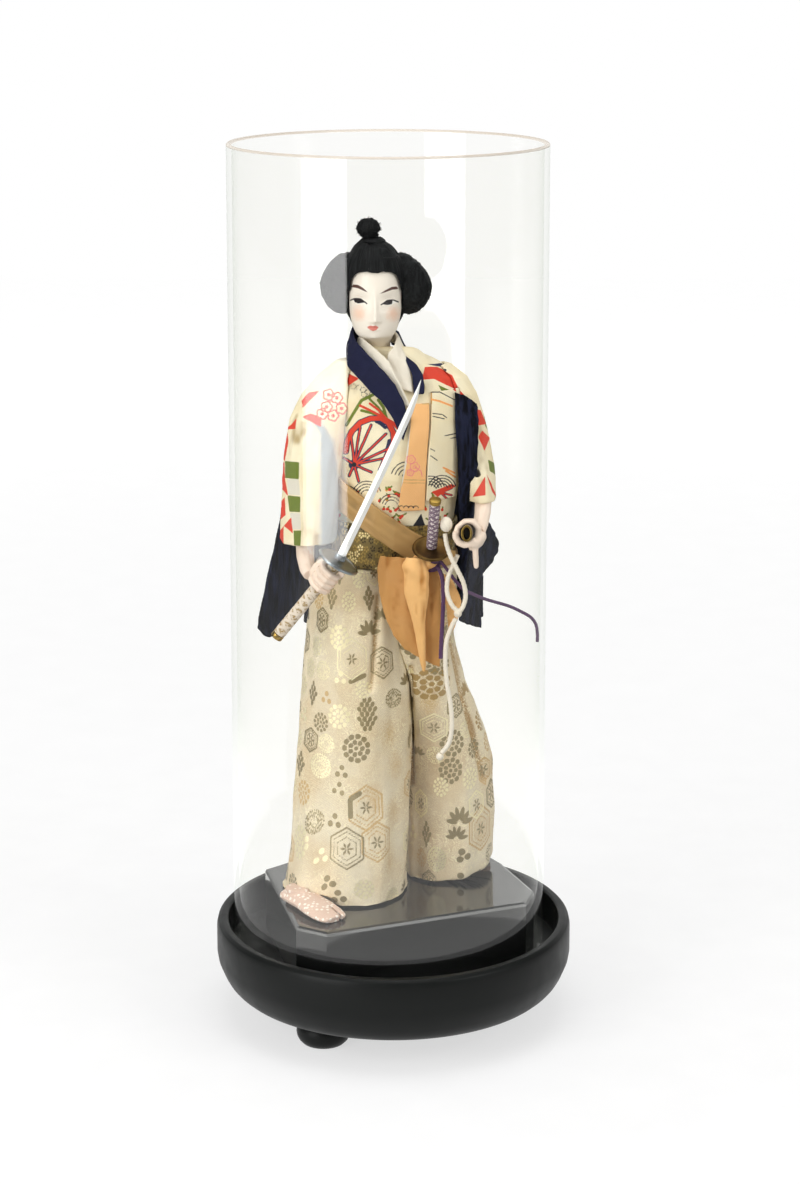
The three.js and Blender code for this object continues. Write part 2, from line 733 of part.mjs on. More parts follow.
/** The blade, with a ridge on each face, a slight curve and a slanted point. */
function katanaBlade(grow = 0) {
  const frame = frameAt(point(...guardPoint), bladeAxis, towardsViewer);
  const steps = 12;
  const rings = [];
  for (let i = 0; i <= steps; i++) {
    const t = i / steps;
    const curve = 8 * t * (1 - t) * 0.3;
    const nearTip = Math.max(0, (t - 0.88) / 0.12);
    const half = bladeHalfWidth * (1 - 0.25 * t) * (1 - 0.93 * nearTip) + grow;
    const thick = (bladeThickness / 2) * (1 - 0.4 * t) * (1 - 0.7 * nearTip) + grow;
    const lean = curve - bladeHalfWidth * 0.6 * nearTip;
    const corners = [
      [-thick, lean],
      [0, lean - half],
      [thick, lean],
      [0, lean + half],
    ];
    rings.push(corners.map(([x, y]) => point(x, y, bladeLength * t).applyMatrix4(frame)));
  }
  return solid(ringSkin(rings));
}

const bladeCollar = () =>
  bar(frameAt(point(...guardPoint), bladeAxis, towardsViewer), 0, bladeCollarLength,
    bladeThickness / 2 + 1.1, bladeHalfWidth + 1, 12);

const shortAxis = point(0.05, -Math.sin(rad(shortTilt)), Math.cos(rad(shortTilt))).normalize();
const shortFrame = frameAt(point(...shortGuardPoint), shortAxis);
const shortSeat = guardThickness / 2 + clearance;
const shortScabbard = (grow = 0) => {
  const [wide, deep] = [shortScabbardRadius, shortScabbardRadius * 0.8];
  return bar(shortFrame, -shortSeat - shortScabbardLength, -shortSeat, wide, deep, 14, grow);
};
const shortGrip = () =>
  bar(shortFrame, shortSeat, shortGripLength - pommelLength, shortGripRadius, shortGripRadius * 0.9, 14);
const shortPommel = () =>
  bar(shortFrame, shortGripLength - pommelLength + clearance, shortGripLength, shortGripRadius + 0.3,
    shortGripRadius, 14);
const shortGuard = () => moved(guardDisc(shortGuardRadius, 0.3), shortFrame);

const scabbardPoints = (() => {
  const from = point(...scabbardMouth);
  const to = point(...scabbardEnd);
  const middle = from.clone().add(to).multiplyScalar(0.5).add(point(1.2, 0, 2.2));
  return [from, middle, to].map((p) => [p.x, p.y, p.z, scabbardHalfWidth, scabbardHalfHeight]);
})();
const longScabbard = (grow = 0) => limb(scabbardPoints, { sides: 14, steps: 4, grow });
const mouthBar = (from, to, inset) =>
  bar(frameAt(point(...scabbardMouth), unit(scabbardEnd, scabbardMouth)), from, to,
    scabbardHalfWidth - inset, scabbardHalfHeight - inset, 14);

// Hands: fingers curled round a bar, with the palm on one side

/**
 * A fist round an oval bar at a point. palm is the direction from the bar to the palm, and halves are
 * the bar's half sizes along the palm's direction and across it.
 */
function fist(centre, barAxis, palm, halves, thumbSide, grow = 0) {
  const frame = frameAt(centre, barAxis, palm);
  const [reach, width] = halves.map((half) => half + fingerRadius + clearance);
  const curl = (z, from, to, radius) => {
    const turns = 5;
    const points = [];
    for (let i = 0; i <= turns; i++) {
      const angle = rad(from + ((to - from) * i) / turns);
      points.push([reach * Math.cos(angle), width * Math.sin(angle), z]);
    }
    return cord(points, radius + grow, { sides: 6, steps: turns });
  };
  const spacing = 1.85 * fingerRadius;
  const fingers = [-1.5, -0.5, 0.5, 1.5].map((k) =>
    curl(k * spacing, 15, 235, fingerRadius * (1 - 0.04 * Math.abs(k))));
  const thumb = curl(thumbSide * 2.2 * spacing, 0, -150, fingerRadius * 1.12);
  const palmBody = ellipsoid([reach + 1.2, 0, 0], [3.6 + grow, width + grow, 2.35 * spacing + grow], 8, 6);
  return moved(joined([palmBody, thumb, ...fingers]), frame);
}

const rightFistCentre = point(...guardPoint).addScaledVector(gripAxis, -12);
const rightFist = (grow = 0) =>
  fist(rightFistCentre, gripAxis, point(-0.55, 0.75, 0.2), [gripHalfWidth, gripHalfWidth], 1, grow);
const scabbardAxis = unit(scabbardEnd, scabbardMouth);
const leftFistCentre = point(...scabbardMouth).addScaledVector(scabbardAxis, -11.5);
const [mouthX, mouthY, mouthZ] = scabbardMouth;
/** The left hand's little finger, which hangs straight down beside the fist. */
const littleFinger = (grow = 0) =>
  limb(
    [
      [mouthX + 4.4, mouthY + 6, mouthZ - 5, fingerRadius, fingerRadius],
      [mouthX + 4.9, mouthY + 6.6, mouthZ - 13, fingerRadius * 0.9, fingerRadius * 0.9],
      [mouthX + 5.2, mouthY + 6.8, mouthZ - 19.4, fingerRadius * 0.86, fingerRadius * 0.86],
      [mouthX + 5.3, mouthY + 6.8, mouthZ - 21, fingerRadius * 0.4, fingerRadius * 0.4],
    ],
    { sides: 6, steps: 4, grow },
  );
const leftFist = (grow = 0) =>
  fist(leftFistCentre, scabbardAxis, point(0.75, 0, -0.66), [scabbardHalfWidth + 0.5, scabbardHalfHeight],
    0.9, grow).add(littleFinger(grow));

const armTop = (mouthTop) => mouthTop - kimonoCloth - clearance;
const rightForearm = (grow = 0) =>
  limb(
    [
      [-43, -9, armTop(rightMouthTop), 5.2, 5.2],
      [-44.5, -10, 231, 5.4, 5.4],
      [-47.4, -15, 213, 5.4, 5.4],
      [-47.8, -23, 199, 5.1, 5],
      [-46.4, -33, 191, 4.4, 4.2],
      [-44.6, -40, 188.5, 3.6, 3.2],
    ],
    { sides: 10, steps: 6, grow },
  );
const leftForearm = (grow = 0) =>
  limb(
    [
      [43.5, -4, armTop(leftMouthTop), 5, 5],
      [47, -6, 243, 5, 5],
      [49, -10, 231, 4.8, 4.8],
      [48.8, -18, 221.5, 4.6, 4.5],
      [47.4, -29, 215, 4.2, 4],
      [46, -38, 211.5, 3.4, 3.2],
    ],
    { sides: 10, steps: 6, grow },
  );

// Sleeves, with an open mouth for the arm

const rightSleeveSections = [
  [202, -46.3, -13.8, 15.8, 19],
  [221, -45, -13, 16.3, 19.5],
  [247, -43, -11, 16, 19],
  [269, -40, -8, 16.3, 17.5],
  [281, -34, -4, 16, 15],
  [291, -27, -1, 14, 12],
  [299, -23, 0, 8, 8],
];
const leftSleeveSections = [
  [224, 48.2, -10, 8, 14],
  [240, 45.2, -7, 9.9, 13.5],
  [257, 40.8, -4, 11.6, 13],
  [270, 36.4, -2, 12.8, 12.5],
  [281, 32, -1, 13.4, 12],
  [290, 27.5, 0, 12.6, 10],
  [297, 23, 1, 8, 7],
];
const sleeveFold = (angle, z) => 0.5 * Math.sin(6 * angle + z / 9);
const sleeve = (sections, grow = 0) =>
  ovalBody(sections, { sides: sleeveSides, steps: 6, grow, shape: sleeveFold });
const sleeveMouth = (sections, top) => {
  const inner = sections.filter((row) => row[0] <= top).map(([z, ...rest]) => [z, ...rest]);
  inner[0][0] -= 2;
  return ovalBody(inner, { sides: sleeveSides, steps: 3, grow: -kimonoCloth, shape: sleeveFold });
};

// Coat: back and two lobes of ribbed crepe

const coatRipple = (u, v) => 0.9 * Math.sin(19 * u + 2 * v) * (0.3 + 0.7 * v);
const coatBack = (grow = 0) =>
  sheet(
    [
      [[-32, 12, 288], [-16, 23, 292], [0, 26, 293], [18, 24, 292], [35, 13, 286]],
      [[-36, 14, 262], [-18, 26, 262], [2, 30, 262], [22, 27, 262], [40, 14, 262]],
      [[-40, 15, 220], [-20, 30, 220], [2, 34, 220], [24, 31, 220], [44, 16, 220]],
      [[-46, 16, 180], [-22, 34, 178], [2, 39, 178], [28, 36, 178], [49, 19, 180]],
      [[-50, 18, 146], [-24, 38, 143], [2, 43, 142], [30, 41, 143], [50, 26, 147]],
    ],
    coatCloth,
    { nu: 13, nv: 5, grow, ripple: coatRipple },
  );
const coatRight = (grow = 0) =>
  sheet(
    [
      [[-59, 7, 250], [-48, 11, 252], [-37, 13, 254]],
      [[-61, 6, 220], [-50, 11, 220], [-41, 14, 220]],
      [[-66, 5, 190], [-55, 10, 186], [-46, 14, 184]],
      [[-74, 4, 158], [-64, 8, 152], [-51, 13, 158]],
      [[-75, 3, 147], [-69, 6, 141], [-61, 9, 146]],
    ],
    coatCloth,
    { nu: 6, nv: 6, grow, ripple: (u, v) => 0.5 * Math.sin(14 * u) * v },
  );
const coatLeft = (grow = 0) =>
  sheet(
    [
      [[33, -16, 284], [39, -16.5, 282], [45, -14, 277]],
      [[33.5, -21, 266], [40, -21, 264], [46, -19.5, 262]],
      [[35, -21, 240], [41, -21, 238], [46.5, -19, 236]],
      [[36, -14, 215], [46, -9, 212], [57, -3, 207]],
      [[37, -6, 192], [45, 0, 190], [57, 3, 186]],
      [[37, -1, 172], [42, 2, 170], [49, 4, 166]],
      [[36.5, 0, 157], [43, 3, 154], [49, 6, 151]],
      [[36, 0, 149], [43, 3, 145.5], [49, 6, 143]],
    ],
    coatCloth,
    { nu: 5, nv: 8, grow, ripple: (u, v) => 0.5 * Math.sin(12 * u + 3 * v) },
  );

// Collars

const navyCollar = (grow = 0) =>
  sheet(
    [
      [[8.6, -31.5, 270.5], [5.4, -32.4, 260]],
      [[3.7, -29, 286.5], [-3.7, -30, 278.4]],
      [[-4.5, -26, 296.4], [-12, -25.5, 285.4]],
      [[-12.3, -22, 304], [-19.5, -19, 293]],
      [[-18.5, -16, 309.6], [-24.4, -13, 297.7]],
      [[-21.7, -8, 313.5], [-24.6, -6, 302.6]],
      [[-21, 4, 317], [-24.6, 7, 306]],
      [[-9, 14, 318.5], [-10, 19.5, 307.5]],
      [[5.4, 5, 313.5], [9.6, 8, 303.5]],
      [[6.2, -9, 306.3], [9.4, -8, 301]],
      [[8.8, -17, 299.3], [14, -16.4, 298.4]],
      [[10.6, -22.5, 290.8], [16.6, -22, 290.8]],
      [[11, -25.5, 284.5], [16.6, -25.5, 284.5]],
    ],
    collarCloth,
    { nu: 2, nv: 18, grow },
  );
const underCollar = (grow = 0) =>
  sheet(
    [
      [[9.7, -27.8, 277], [3, -26.6, 280]],
      [[2.2, -25, 293.2], [-5, -23.5, 287]],
      [[-4, -21, 304.3], [-13, -19.5, 298]],
      [[-12.9, -15.5, 309.6], [-19, -13, 304]],
      [[-17, -7, 314], [-19.6, -6, 306]],
      [[-17, 3, 316.5], [-19, 3, 307]],
      [[-9, 10.5, 318], [-9, 15, 308]],
      [[1, 4, 314.5], [4.4, 5, 306]],
      [[2.3, -8.5, 310.8], [6, -8, 303.5]],
      [[-1.3, -16.5, 307], [7.9, -15, 300.5]],
      [[-4.5, -18, 300], [10, -19, 292.5]],
      [[0.4, -21.6, 287.5], [10.6, -23.5, 285]],
    ],
    underCollarCloth,
    { nu: 2, nv: 13, grow },
  );

// Sash, obi and tails

const obi = (grow = 0) => {
  const low = hipHeight + clearance - grow;
  const high = hipHeight + obiHeight + grow;
  const band = torso(clearance + obiCloth + grow);
  const slab = boxSolid(200, 200, high - low, 0, 0, (low + high) / 2);
  return band.intersect(slab);
};
const sashSlab = (grow = 0) =>
  boxSolid(260, 260, sashWidth + 2 * grow)
    .transform(new THREE.Matrix4().makeRotationY(rad(sashTilt)).elements)
    .translate([0, 0, sashMiddle]);
const sashOuter = clearance + obiCloth + clearance + sashCloth;
const sashBand = (grow = 0) =>
  torsoAbove(hipHeight + clearance - grow, sashOuter + grow).intersect(sashSlab(grow));

const knotPlace = [17.5, -38, 196];
const sashKnot = (grow = 0) =>
  ellipsoid(knotPlace, [7.5 + grow, 6 + grow, 5.2 + grow], 10, 7);
const tailFront = (grow = 0) =>
  limb(
    [
      [12, -43.4, 199, 5, 2.4],
      [12.6, -44.5, 180, 7.4, 3.4],
      [14.6, -43.6, 160, 5.2, 2.6],
      [16, -42.8, 146, 3.6, 2],
      [16.8, -42.2, 136, 1.4, 1.2],
    ],
    { sides: 10, steps: 8, grow },
  );
const tailBack = (grow = 0) =>
  sheet(
    [
      [[-7, -31.8, 197], [3, -34, 197], [13, -35, 196], [22, -35.4, 194]],
      [[-8.5, -33, 187], [3, -36.5, 186], [14, -38, 185], [25, -37, 184]],
      [[-6.5, -34.5, 172], [4, -38, 171], [15, -40, 170], [26, -38.5, 170]],
      [[-1, -35.5, 156], [8, -38, 154], [17, -39, 152], [26, -38.5, 151]],
      [[6, -35, 146], [13, -36.8, 143], [19, -38, 139.5], [25, -37.5, 137]],
    ],
    tailCloth,
    { nu: 7, nv: 5, grow, ripple: (u, v) => 0.6 * Math.sin(11 * u + v) },
  );
const tailSide = (grow = 0) =>
  sheet(
    [
      [[23, -36, 190], [31, -35, 186]],
      [[24.5, -38, 180], [34.5, -36, 179]],
      [[28.5, -37.8, 170], [36.5, -36, 173]],
      [[29.5, -37.6, 160], [34.5, -36.4, 162]],
      [[30, -37.2, 156], [31, -37, 155]],
    ],
    tailCloth,
    { nu: 3, nv: 6, grow },
  );

// Cord routes, in the doll's own space

const whiteLoopRoute = [
  [27.6, -47.2, 213], [28.6, -48, 207], [31, -48.8, 200], [34, -49, 194],
  [37.6, -48.6, 186], [38.6, -48, 178], [36, -47.4, 171], [32, -47, 173],
  [29, -46.6, 180], [29.2, -46, 188], [32, -45.4, 195], [34.4, -45.6, 201],
];
const whiteTailRoute = [
  [33.6, -47.8, 166.6], [31.2, -47.8, 162], [28.6, -47.6, 154], [28, -47.4, 142], [29, -47.2, 130],
  [31, -47, 118], [31.6, -46.8, 106], [30, -46.6, 97], [26.2, -46.4, 91.5],
];
const purpleDropRoute = [
  [22.8, -38.6, 194], [26, -41.2, 188.6], [26.9, -42, 178], [26.6, -42.2, 166], [26, -42.2, 154],
  [25.6, -42.2, 143],
];
const purpleLongRoute = [
  [24.4, -38.6, 197], [28.6, -40.2, 192], [33, -40.5, 186], [38, -38, 180], [44, -34, 176],
  [50, -28, 172], [57, -22, 168.4], [64, -15, 164.4], [70.4, -9.6, 160], [75.8, -5, 155.6],
  [78.8, -2, 150.6], [79.7, -1, 145], [79.7, -0.8, 140.6],
];
const whiteLoops = () => cord(whiteLoopRoute, whiteCordRadius, { steps: 20 });
const whiteTail = () => cord(whiteTailRoute, whiteCordRadius, { steps: 17 });
const purpleDrop = () => cord(purpleDropRoute, dropCordRadius, { steps: 9 });
const purpleLong = () => cord(purpleLongRoute, purpleCordRadius, { steps: 18 });
const whiteKnot = (grow = 0) => ellipsoid([28.2, -46.8, 218], [3.4 + grow, 3 + grow, 4.2 + grow], 12, 8);
const cordKnot = (grow = 0) => ellipsoid([34.6, -47.4, 169.4], [2.2 + grow, 2.2 + grow, 2.4 + grow], 10, 6);
const endKnot = () => ellipsoid([25.2, -46.4, 89.4], [2.1, 2.1, 2.2], 10, 6);
const purpleWrap = (grow = 0) => {
  const profile = [
    [0, -12 - grow],
    [5.6 + grow, -12 - grow],
    [6 + grow, -9],
    [5.4 + grow, -7],
    [6 + grow, -4.6],
    [5.4 + grow, -2.2 + grow],
    [0, -2.2 + grow],
  ];
  return moved(latheSolid(profile, 16), shortFrame);
};

// Placing the doll's pieces, each cut back by what it rests on

const c = clearance;
const shortPocket = shortScabbard(c);
const scabbardCut = longScabbard(c);

place(dollGroup, "hakama_leg_right",
  cutBy(rightLeg(), [rightFoot(c), postHoles[0], shortPocket]), finishes.brocade);
place(dollGroup, "hakama_leg_left",
  cutBy(leftLeg(), [rightLeg(c), leftFoot(c), postHoles[1], shortPocket]), finishes.brocade);

const core = cutBy(torso(-kimonoCloth - c, torsoSides / 2), [...postHoles, shortPocket, neckHole, head(c)]);
place(dollGroup, "torso_core", core, finishes.stuffing);
const [hemHeight, hemX, hemY, hemHalfWidth, hemHalfDepth] = torsoSections[0];
const hemHalves = [hemHalfWidth - kimonoCloth, hemHalfDepth - kimonoCloth];
const kimonoMouth = limb(
  [
    [hemX, hemY, hemHeight - 2, ...hemHalves],
    [hemX, hemY, hemHeight + 3, ...hemHalves],
  ],
  { sides: torsoSides, steps: 1 },
);
const kimonoHollow = torso(-kimonoCloth).add(torsoAbove(neckEdge - 2.4, 0)).add(kimonoMouth);
place(dollGroup, "kimono_body", cutBy(torso(), [kimonoHollow, shortPocket, head(c)]), finishes.print);
place(dollGroup, "obi_brocade", cutBy(obi(), [torso(c), shortPocket]), finishes.goldBrocade);
place(dollGroup, "sash_band", cutBy(sashBand(), [obi(c), torso(c), shortPocket]), finishes.sash);

const bodyCut = [torso(c), obi(c), sashBand(c)];
const chestRow = (z, xs, proud) => xs.map((x) => onChest(x, z, proud));
const frontEdges = [[285, 20.2], [270, 20.4], [255, 19], [240, 18.2], [226, 17.6]];
const frontXs = (x) => [0, 4, 8, 12, 16].map((add) => Math.min(x + add, 36));
const leftFront = (grow = 0) =>
  sheet(
    frontEdges.map(([z, x]) => chestRow(z, frontXs(x), frontProud)),
    frontCloth,
    { nu: 5, nv: 8, grow },
  );
const lapelEdges = [
  [279.5, 10.2, 19.4],
  [265, 8.6, 19.2],
  [250, 6.6, 18],
  [235, 4.4, 17.4],
  [221, 2.6, 16.9],
];
const lapel = (grow = 0) =>
  sheet(
    lapelEdges.map(([z, a, b]) => chestRow(z, [a, (a + b) / 2, b], frontProud)),
    frontCloth,
    { nu: 3, nv: 8, grow },
  );
const collarCut = navyCollar(c);
const sashCut = sashBand(c);
place(dollGroup, "kimono_left_front",
  cutBy(leftFront(), [torso(c), collarCut, sashCut, obi(c)]), finishes.print);
place(dollGroup, "peach_lapel",
  cutBy(lapel(), [torso(c), collarCut, leftFront(c), sashCut, obi(c)]), finishes.peach);
place(dollGroup, "under_collar", cutBy(underCollar(), [torso(c), head(c), collarCut]), finishes.underCloth);
place(dollGroup, "collar_navy", cutBy(navyCollar(), [torso(c), head(c), hairDome(c)]), finishes.navy);

place(dollGroup, "coat_back", cutBy(coatBack(), [torso(c), scabbardCut, collarCut]), finishes.crepe);
const coatLeftCut = coatLeft(c);
const rightHollow = [sleeveMouth(rightSleeveSections, rightMouthTop), rightForearm(c)];
const leftHollow = [sleeveMouth(leftSleeveSections, leftMouthTop), leftForearm(c)];
place(dollGroup, "sleeve_right",
  cutBy(sleeve(rightSleeveSections), [...rightHollow, ...bodyCut, collarCut, coatBack(c), coatRight(c)]),
  finishes.print);
place(dollGroup, "sleeve_left",
  cutBy(sleeve(leftSleeveSections),
    [...leftHollow, ...bodyCut, collarCut, coatBack(c), coatLeftCut, leftFront(c)]),
  finishes.print);
place(dollGroup, "coat_lobe_right",
  cutBy(coatRight(), [coatBack(c), ...bodyCut, rightLeg(c)]), finishes.crepe);
place(dollGroup, "coat_lobe_left",
  cutBy(coatLeft(), [coatBack(c), ...bodyCut, scabbardCut, leftFront(c), leftLeg(c), leftForearm(c)]),
  finishes.crepe);

place(dollGroup, "head", cutBy(head(), [neckHole]), finishes.face);
place(dollGroup, "neck_dowel", dowel, finishes.wood);
place(dollGroup, "wig_crown", cutBy(hairDome(), [skull(wigCap), faceWindow]), finishes.hair);
for (const side of ["right", "left"]) {
  place(dollGroup, "wig_lobe_" + side, cutBy(lobe(side), [hairDome(c), head(c)]), finishes.hair);
}
place(dollGroup, "wig_back_hair",
  cutBy(backHair(), [hairDome(c), head(c), lobe("right", c), lobe("left", c), collarCut]), finishes.hair);
place(dollGroup, "topknot", cutBy(knotBall.add(knotStem), [hairDome(c), topTie(c)]), finishes.hair);
place(dollGroup, "topknot_tie", cutBy(topTie(), [hairDome(c)]), finishes.hair);

place(dollGroup, "long_scabbard",
  cutBy(longScabbard(), [mouthBar(-scabbardBore, 1, scabbardWall)]), finishes.scabbard);
place(dollGroup, "scabbard_mouth_ring",
  cutBy(mouthBar(c, c + mouthRingLength, 0), [mouthBar(0, 1 + mouthRingLength, scabbardWall)]),
  finishes.brass);

place(dollGroup, "hand_right", cutBy(rightFist(), [katanaGrip(c), guardCut]), finishes.skin);
place(dollGroup, "forearm_right", cutBy(rightForearm(), [rightFist(c), katanaGrip(c)]), finishes.skin);
place(dollGroup, "hand_left", cutBy(leftFist(), [scabbardCut, coatLeftCut]), finishes.skin);
place(dollGroup, "forearm_left", cutBy(leftForearm(), [leftFist(c), scabbardCut]), finishes.skin);

place(dollGroup, "short_scabbard", shortScabbard(), finishes.scabbard);
place(dollGroup, "purple_cord_wrap", cutBy(purpleWrap(), [shortPocket, ...bodyCut]), finishes.purpleCord);
const tiedCut = [...bodyCut, purpleWrap(c), shortPocket];
place(dollGroup, "sash_knot", cutBy(sashKnot(), tiedCut), finishes.sashTail);
place(dollGroup, "sash_tail_front", cutBy(tailFront(), [sashKnot(c), ...tiedCut]), finishes.sashTail);
place(dollGroup, "sash_tail_back",
  cutBy(tailBack(), [sashKnot(c), tailFront(c), ...tiedCut, rightLeg(c), leftLeg(c)]), finishes.sash);
place(dollGroup, "sash_tail_side",
  cutBy(tailSide(), [sashKnot(c), tailBack(c), ...tiedCut, leftLeg(c)]), finishes.sashTail);

place(dollGroup, "white_cord_knot",
  cutBy(whiteKnot(), [scabbardCut, leftFist(c), ...bodyCut]), finishes.whiteCord);
place(dollGroup, "white_cord_slide", cordKnot(), finishes.whiteCord);
place(dollGroup, "white_cord_end_knot", endKnot(), finishes.whiteCord);
place(dollGroup, "white_cord_loops", cutBy(whiteLoops(), [whiteKnot(c), cordKnot(c)]), finishes.whiteCord);
place(dollGroup, "white_cord_tail", cutBy(whiteTail(), [cordKnot(c), endKnot(c)]), finishes.whiteCord);
place(dollGroup, "purple_cord_drop", cutBy(purpleDrop(), [purpleWrap(c)]), finishes.purpleCord);
place(dollGroup, "purple_cord_long", cutBy(purpleLong(), [purpleWrap(c)]), finishes.purpleCord);

place(dollGroup, "katana_blade", cutBy(katanaBlade(), [guardCut]), finishes.steel);
place(dollGroup, "katana_blade_collar", cutBy(bladeCollar(), [guardCut, katanaBlade(c)]), finishes.silver);
place(dollGroup, "katana_guard", moved(guardDisc(guardRadius, 0.4), guardFrame), finishes.silver);
place(dollGroup, "katana_grip", cutBy(katanaGrip(), [guardCut]), finishes.grip);
place(dollGroup, "katana_pommel", katanaPommel(), finishes.brass);

place(dollGroup, "short_guard", shortGuard(), finishes.bronze);
place(dollGroup, "short_grip", shortGrip(), finishes.shortGrip);
place(dollGroup, "short_pommel", shortPommel(), finishes.brass);

export default root;
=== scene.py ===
"""Samurai doll in a glass cylinder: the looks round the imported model, in metres, in its own frame."""
import json
import logging
import math
from dataclasses import dataclass
from enum import Enum

import bmesh
import bpy
import numpy as np
from mathutils import Matrix, Vector


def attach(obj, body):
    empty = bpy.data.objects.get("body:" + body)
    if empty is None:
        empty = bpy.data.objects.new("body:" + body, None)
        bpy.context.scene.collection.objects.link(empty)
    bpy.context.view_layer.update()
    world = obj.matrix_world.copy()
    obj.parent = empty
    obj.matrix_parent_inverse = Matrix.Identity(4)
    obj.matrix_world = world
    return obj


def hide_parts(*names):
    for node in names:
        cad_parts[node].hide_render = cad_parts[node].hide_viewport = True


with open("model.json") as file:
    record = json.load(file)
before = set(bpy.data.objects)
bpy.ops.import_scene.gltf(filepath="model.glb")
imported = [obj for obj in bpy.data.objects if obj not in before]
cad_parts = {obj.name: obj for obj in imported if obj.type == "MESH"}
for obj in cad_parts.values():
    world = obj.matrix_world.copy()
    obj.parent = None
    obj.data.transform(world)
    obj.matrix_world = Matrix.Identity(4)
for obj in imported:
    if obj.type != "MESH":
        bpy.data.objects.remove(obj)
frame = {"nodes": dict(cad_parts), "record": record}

LOG = logging.getLogger("doll")
MM = 0.001
TURN = 2 * math.pi
PLINTH_TOP = 73.0  # the doll's own zero above the table, in mm
GLASS_AXIS = (-2.7, 0.0)  # the cylinder stands a little to the left, in mm
BODY_CLOTH = "kimono_body_cloth"  # what most sheets rest on
MADE: dict[str, bpy.types.Material] = {}  # the finished materials by name
Socket = bpy.types.NodeSocket
Piece = bpy.types.Object
Array = np.ndarray


class Body(Enum):
    """The bodies that pieces ride on."""

    BASE = "base"
    CYLINDER = "cylinder"
    DOLL = "doll"
    KATANA = "katana"


# Colour, noise and node helpers


def linear(code: str) -> tuple[float, ...]:
    """Turns an sRGB hex colour into Blender's linear colour."""
    parts = [int(code[i:i + 2], 16) / 255 for i in (1, 3, 5)]
    return tuple(c / 12.92 if c <= 0.04045 else ((c + 0.055) / 1.055) ** 2.4 for c in parts) + (1.0,)


def darker(code: str, share: float = 0.8) -> str:
    """The same sRGB colour, darker."""
    return "#" + "".join(f"{int(int(code[i:i + 2], 16) * share):02x}" for i in (1, 3, 5))


def noise(points: Array, scale: float, seed: int) -> Array:
    """Smooth lumps from -1 to 1.

    Args:
        points: places in mm.
        scale: the size of a lump in mm.
        seed: picks the pattern.

    Returns:
        One value for each point.
    """
    table = np.random.default_rng(seed).uniform(-1, 1, (32, 32, 32))
    at = points / scale
    low = np.floor(at).astype(int)
    share = at - low
    share = share * share * (3 - 2 * share)
    total = np.zeros(len(points))
    for corner in np.ndindex(2, 2, 2):
        weight = np.prod(np.where(corner, share, 1 - share), axis=1)
        total += weight * table[tuple(((low + corner) % 32).T)]
    return total


def bell(value: Array, middle: float, spread: float) -> Array:
    """A smooth bump of height 1."""
    return np.exp(-(((value - middle) / spread) ** 2))


def step(value: Array, low: float, high: float) -> Array:
    """A smooth rise from 0 at low to 1 at high, which may lie below low."""
    share = np.clip((value - low) / (high - low), 0, 1)
    return share * share * (3 - 2 * share)


class Nodes:
    """The node tree of a material or a world while it is built."""

    def __init__(self, owner: bpy.types.ID) -> None:
        """Starts with an empty tree.

        Args:
            owner: the material or the world.
        """
        owner.use_nodes = True
        self.tree, self.place = owner.node_tree, None
        self.tree.nodes.clear()

    def add(self, kind: str, inputs: tuple | dict = (), out: int | str = 0,
            **settings: str | bool | float) -> Socket:
        """Adds one shader node.

        Args:
            kind: its type name without the ShaderNode prefix.
            inputs: values or sockets in order, or by name in a dict. A colour may be an sRGB code.
            out: the output wanted.
            settings: the node's own options.

        Returns:
            The wanted output, or None where the node has none.
        """
        node = self.tree.nodes.new("ShaderNode" + kind)
        for key, value in settings.items():
            setattr(node, key, value)
        for key, value in (inputs.items() if isinstance(inputs, dict) else enumerate(inputs)):
            if isinstance(value, Socket):
                self.tree.links.new(value, node.inputs[key])
            elif value is not None:
                node.inputs[key].default_value = linear(value) if isinstance(value, str) else value
        return node.outputs[out] if len(node.outputs) else None


# Finishes


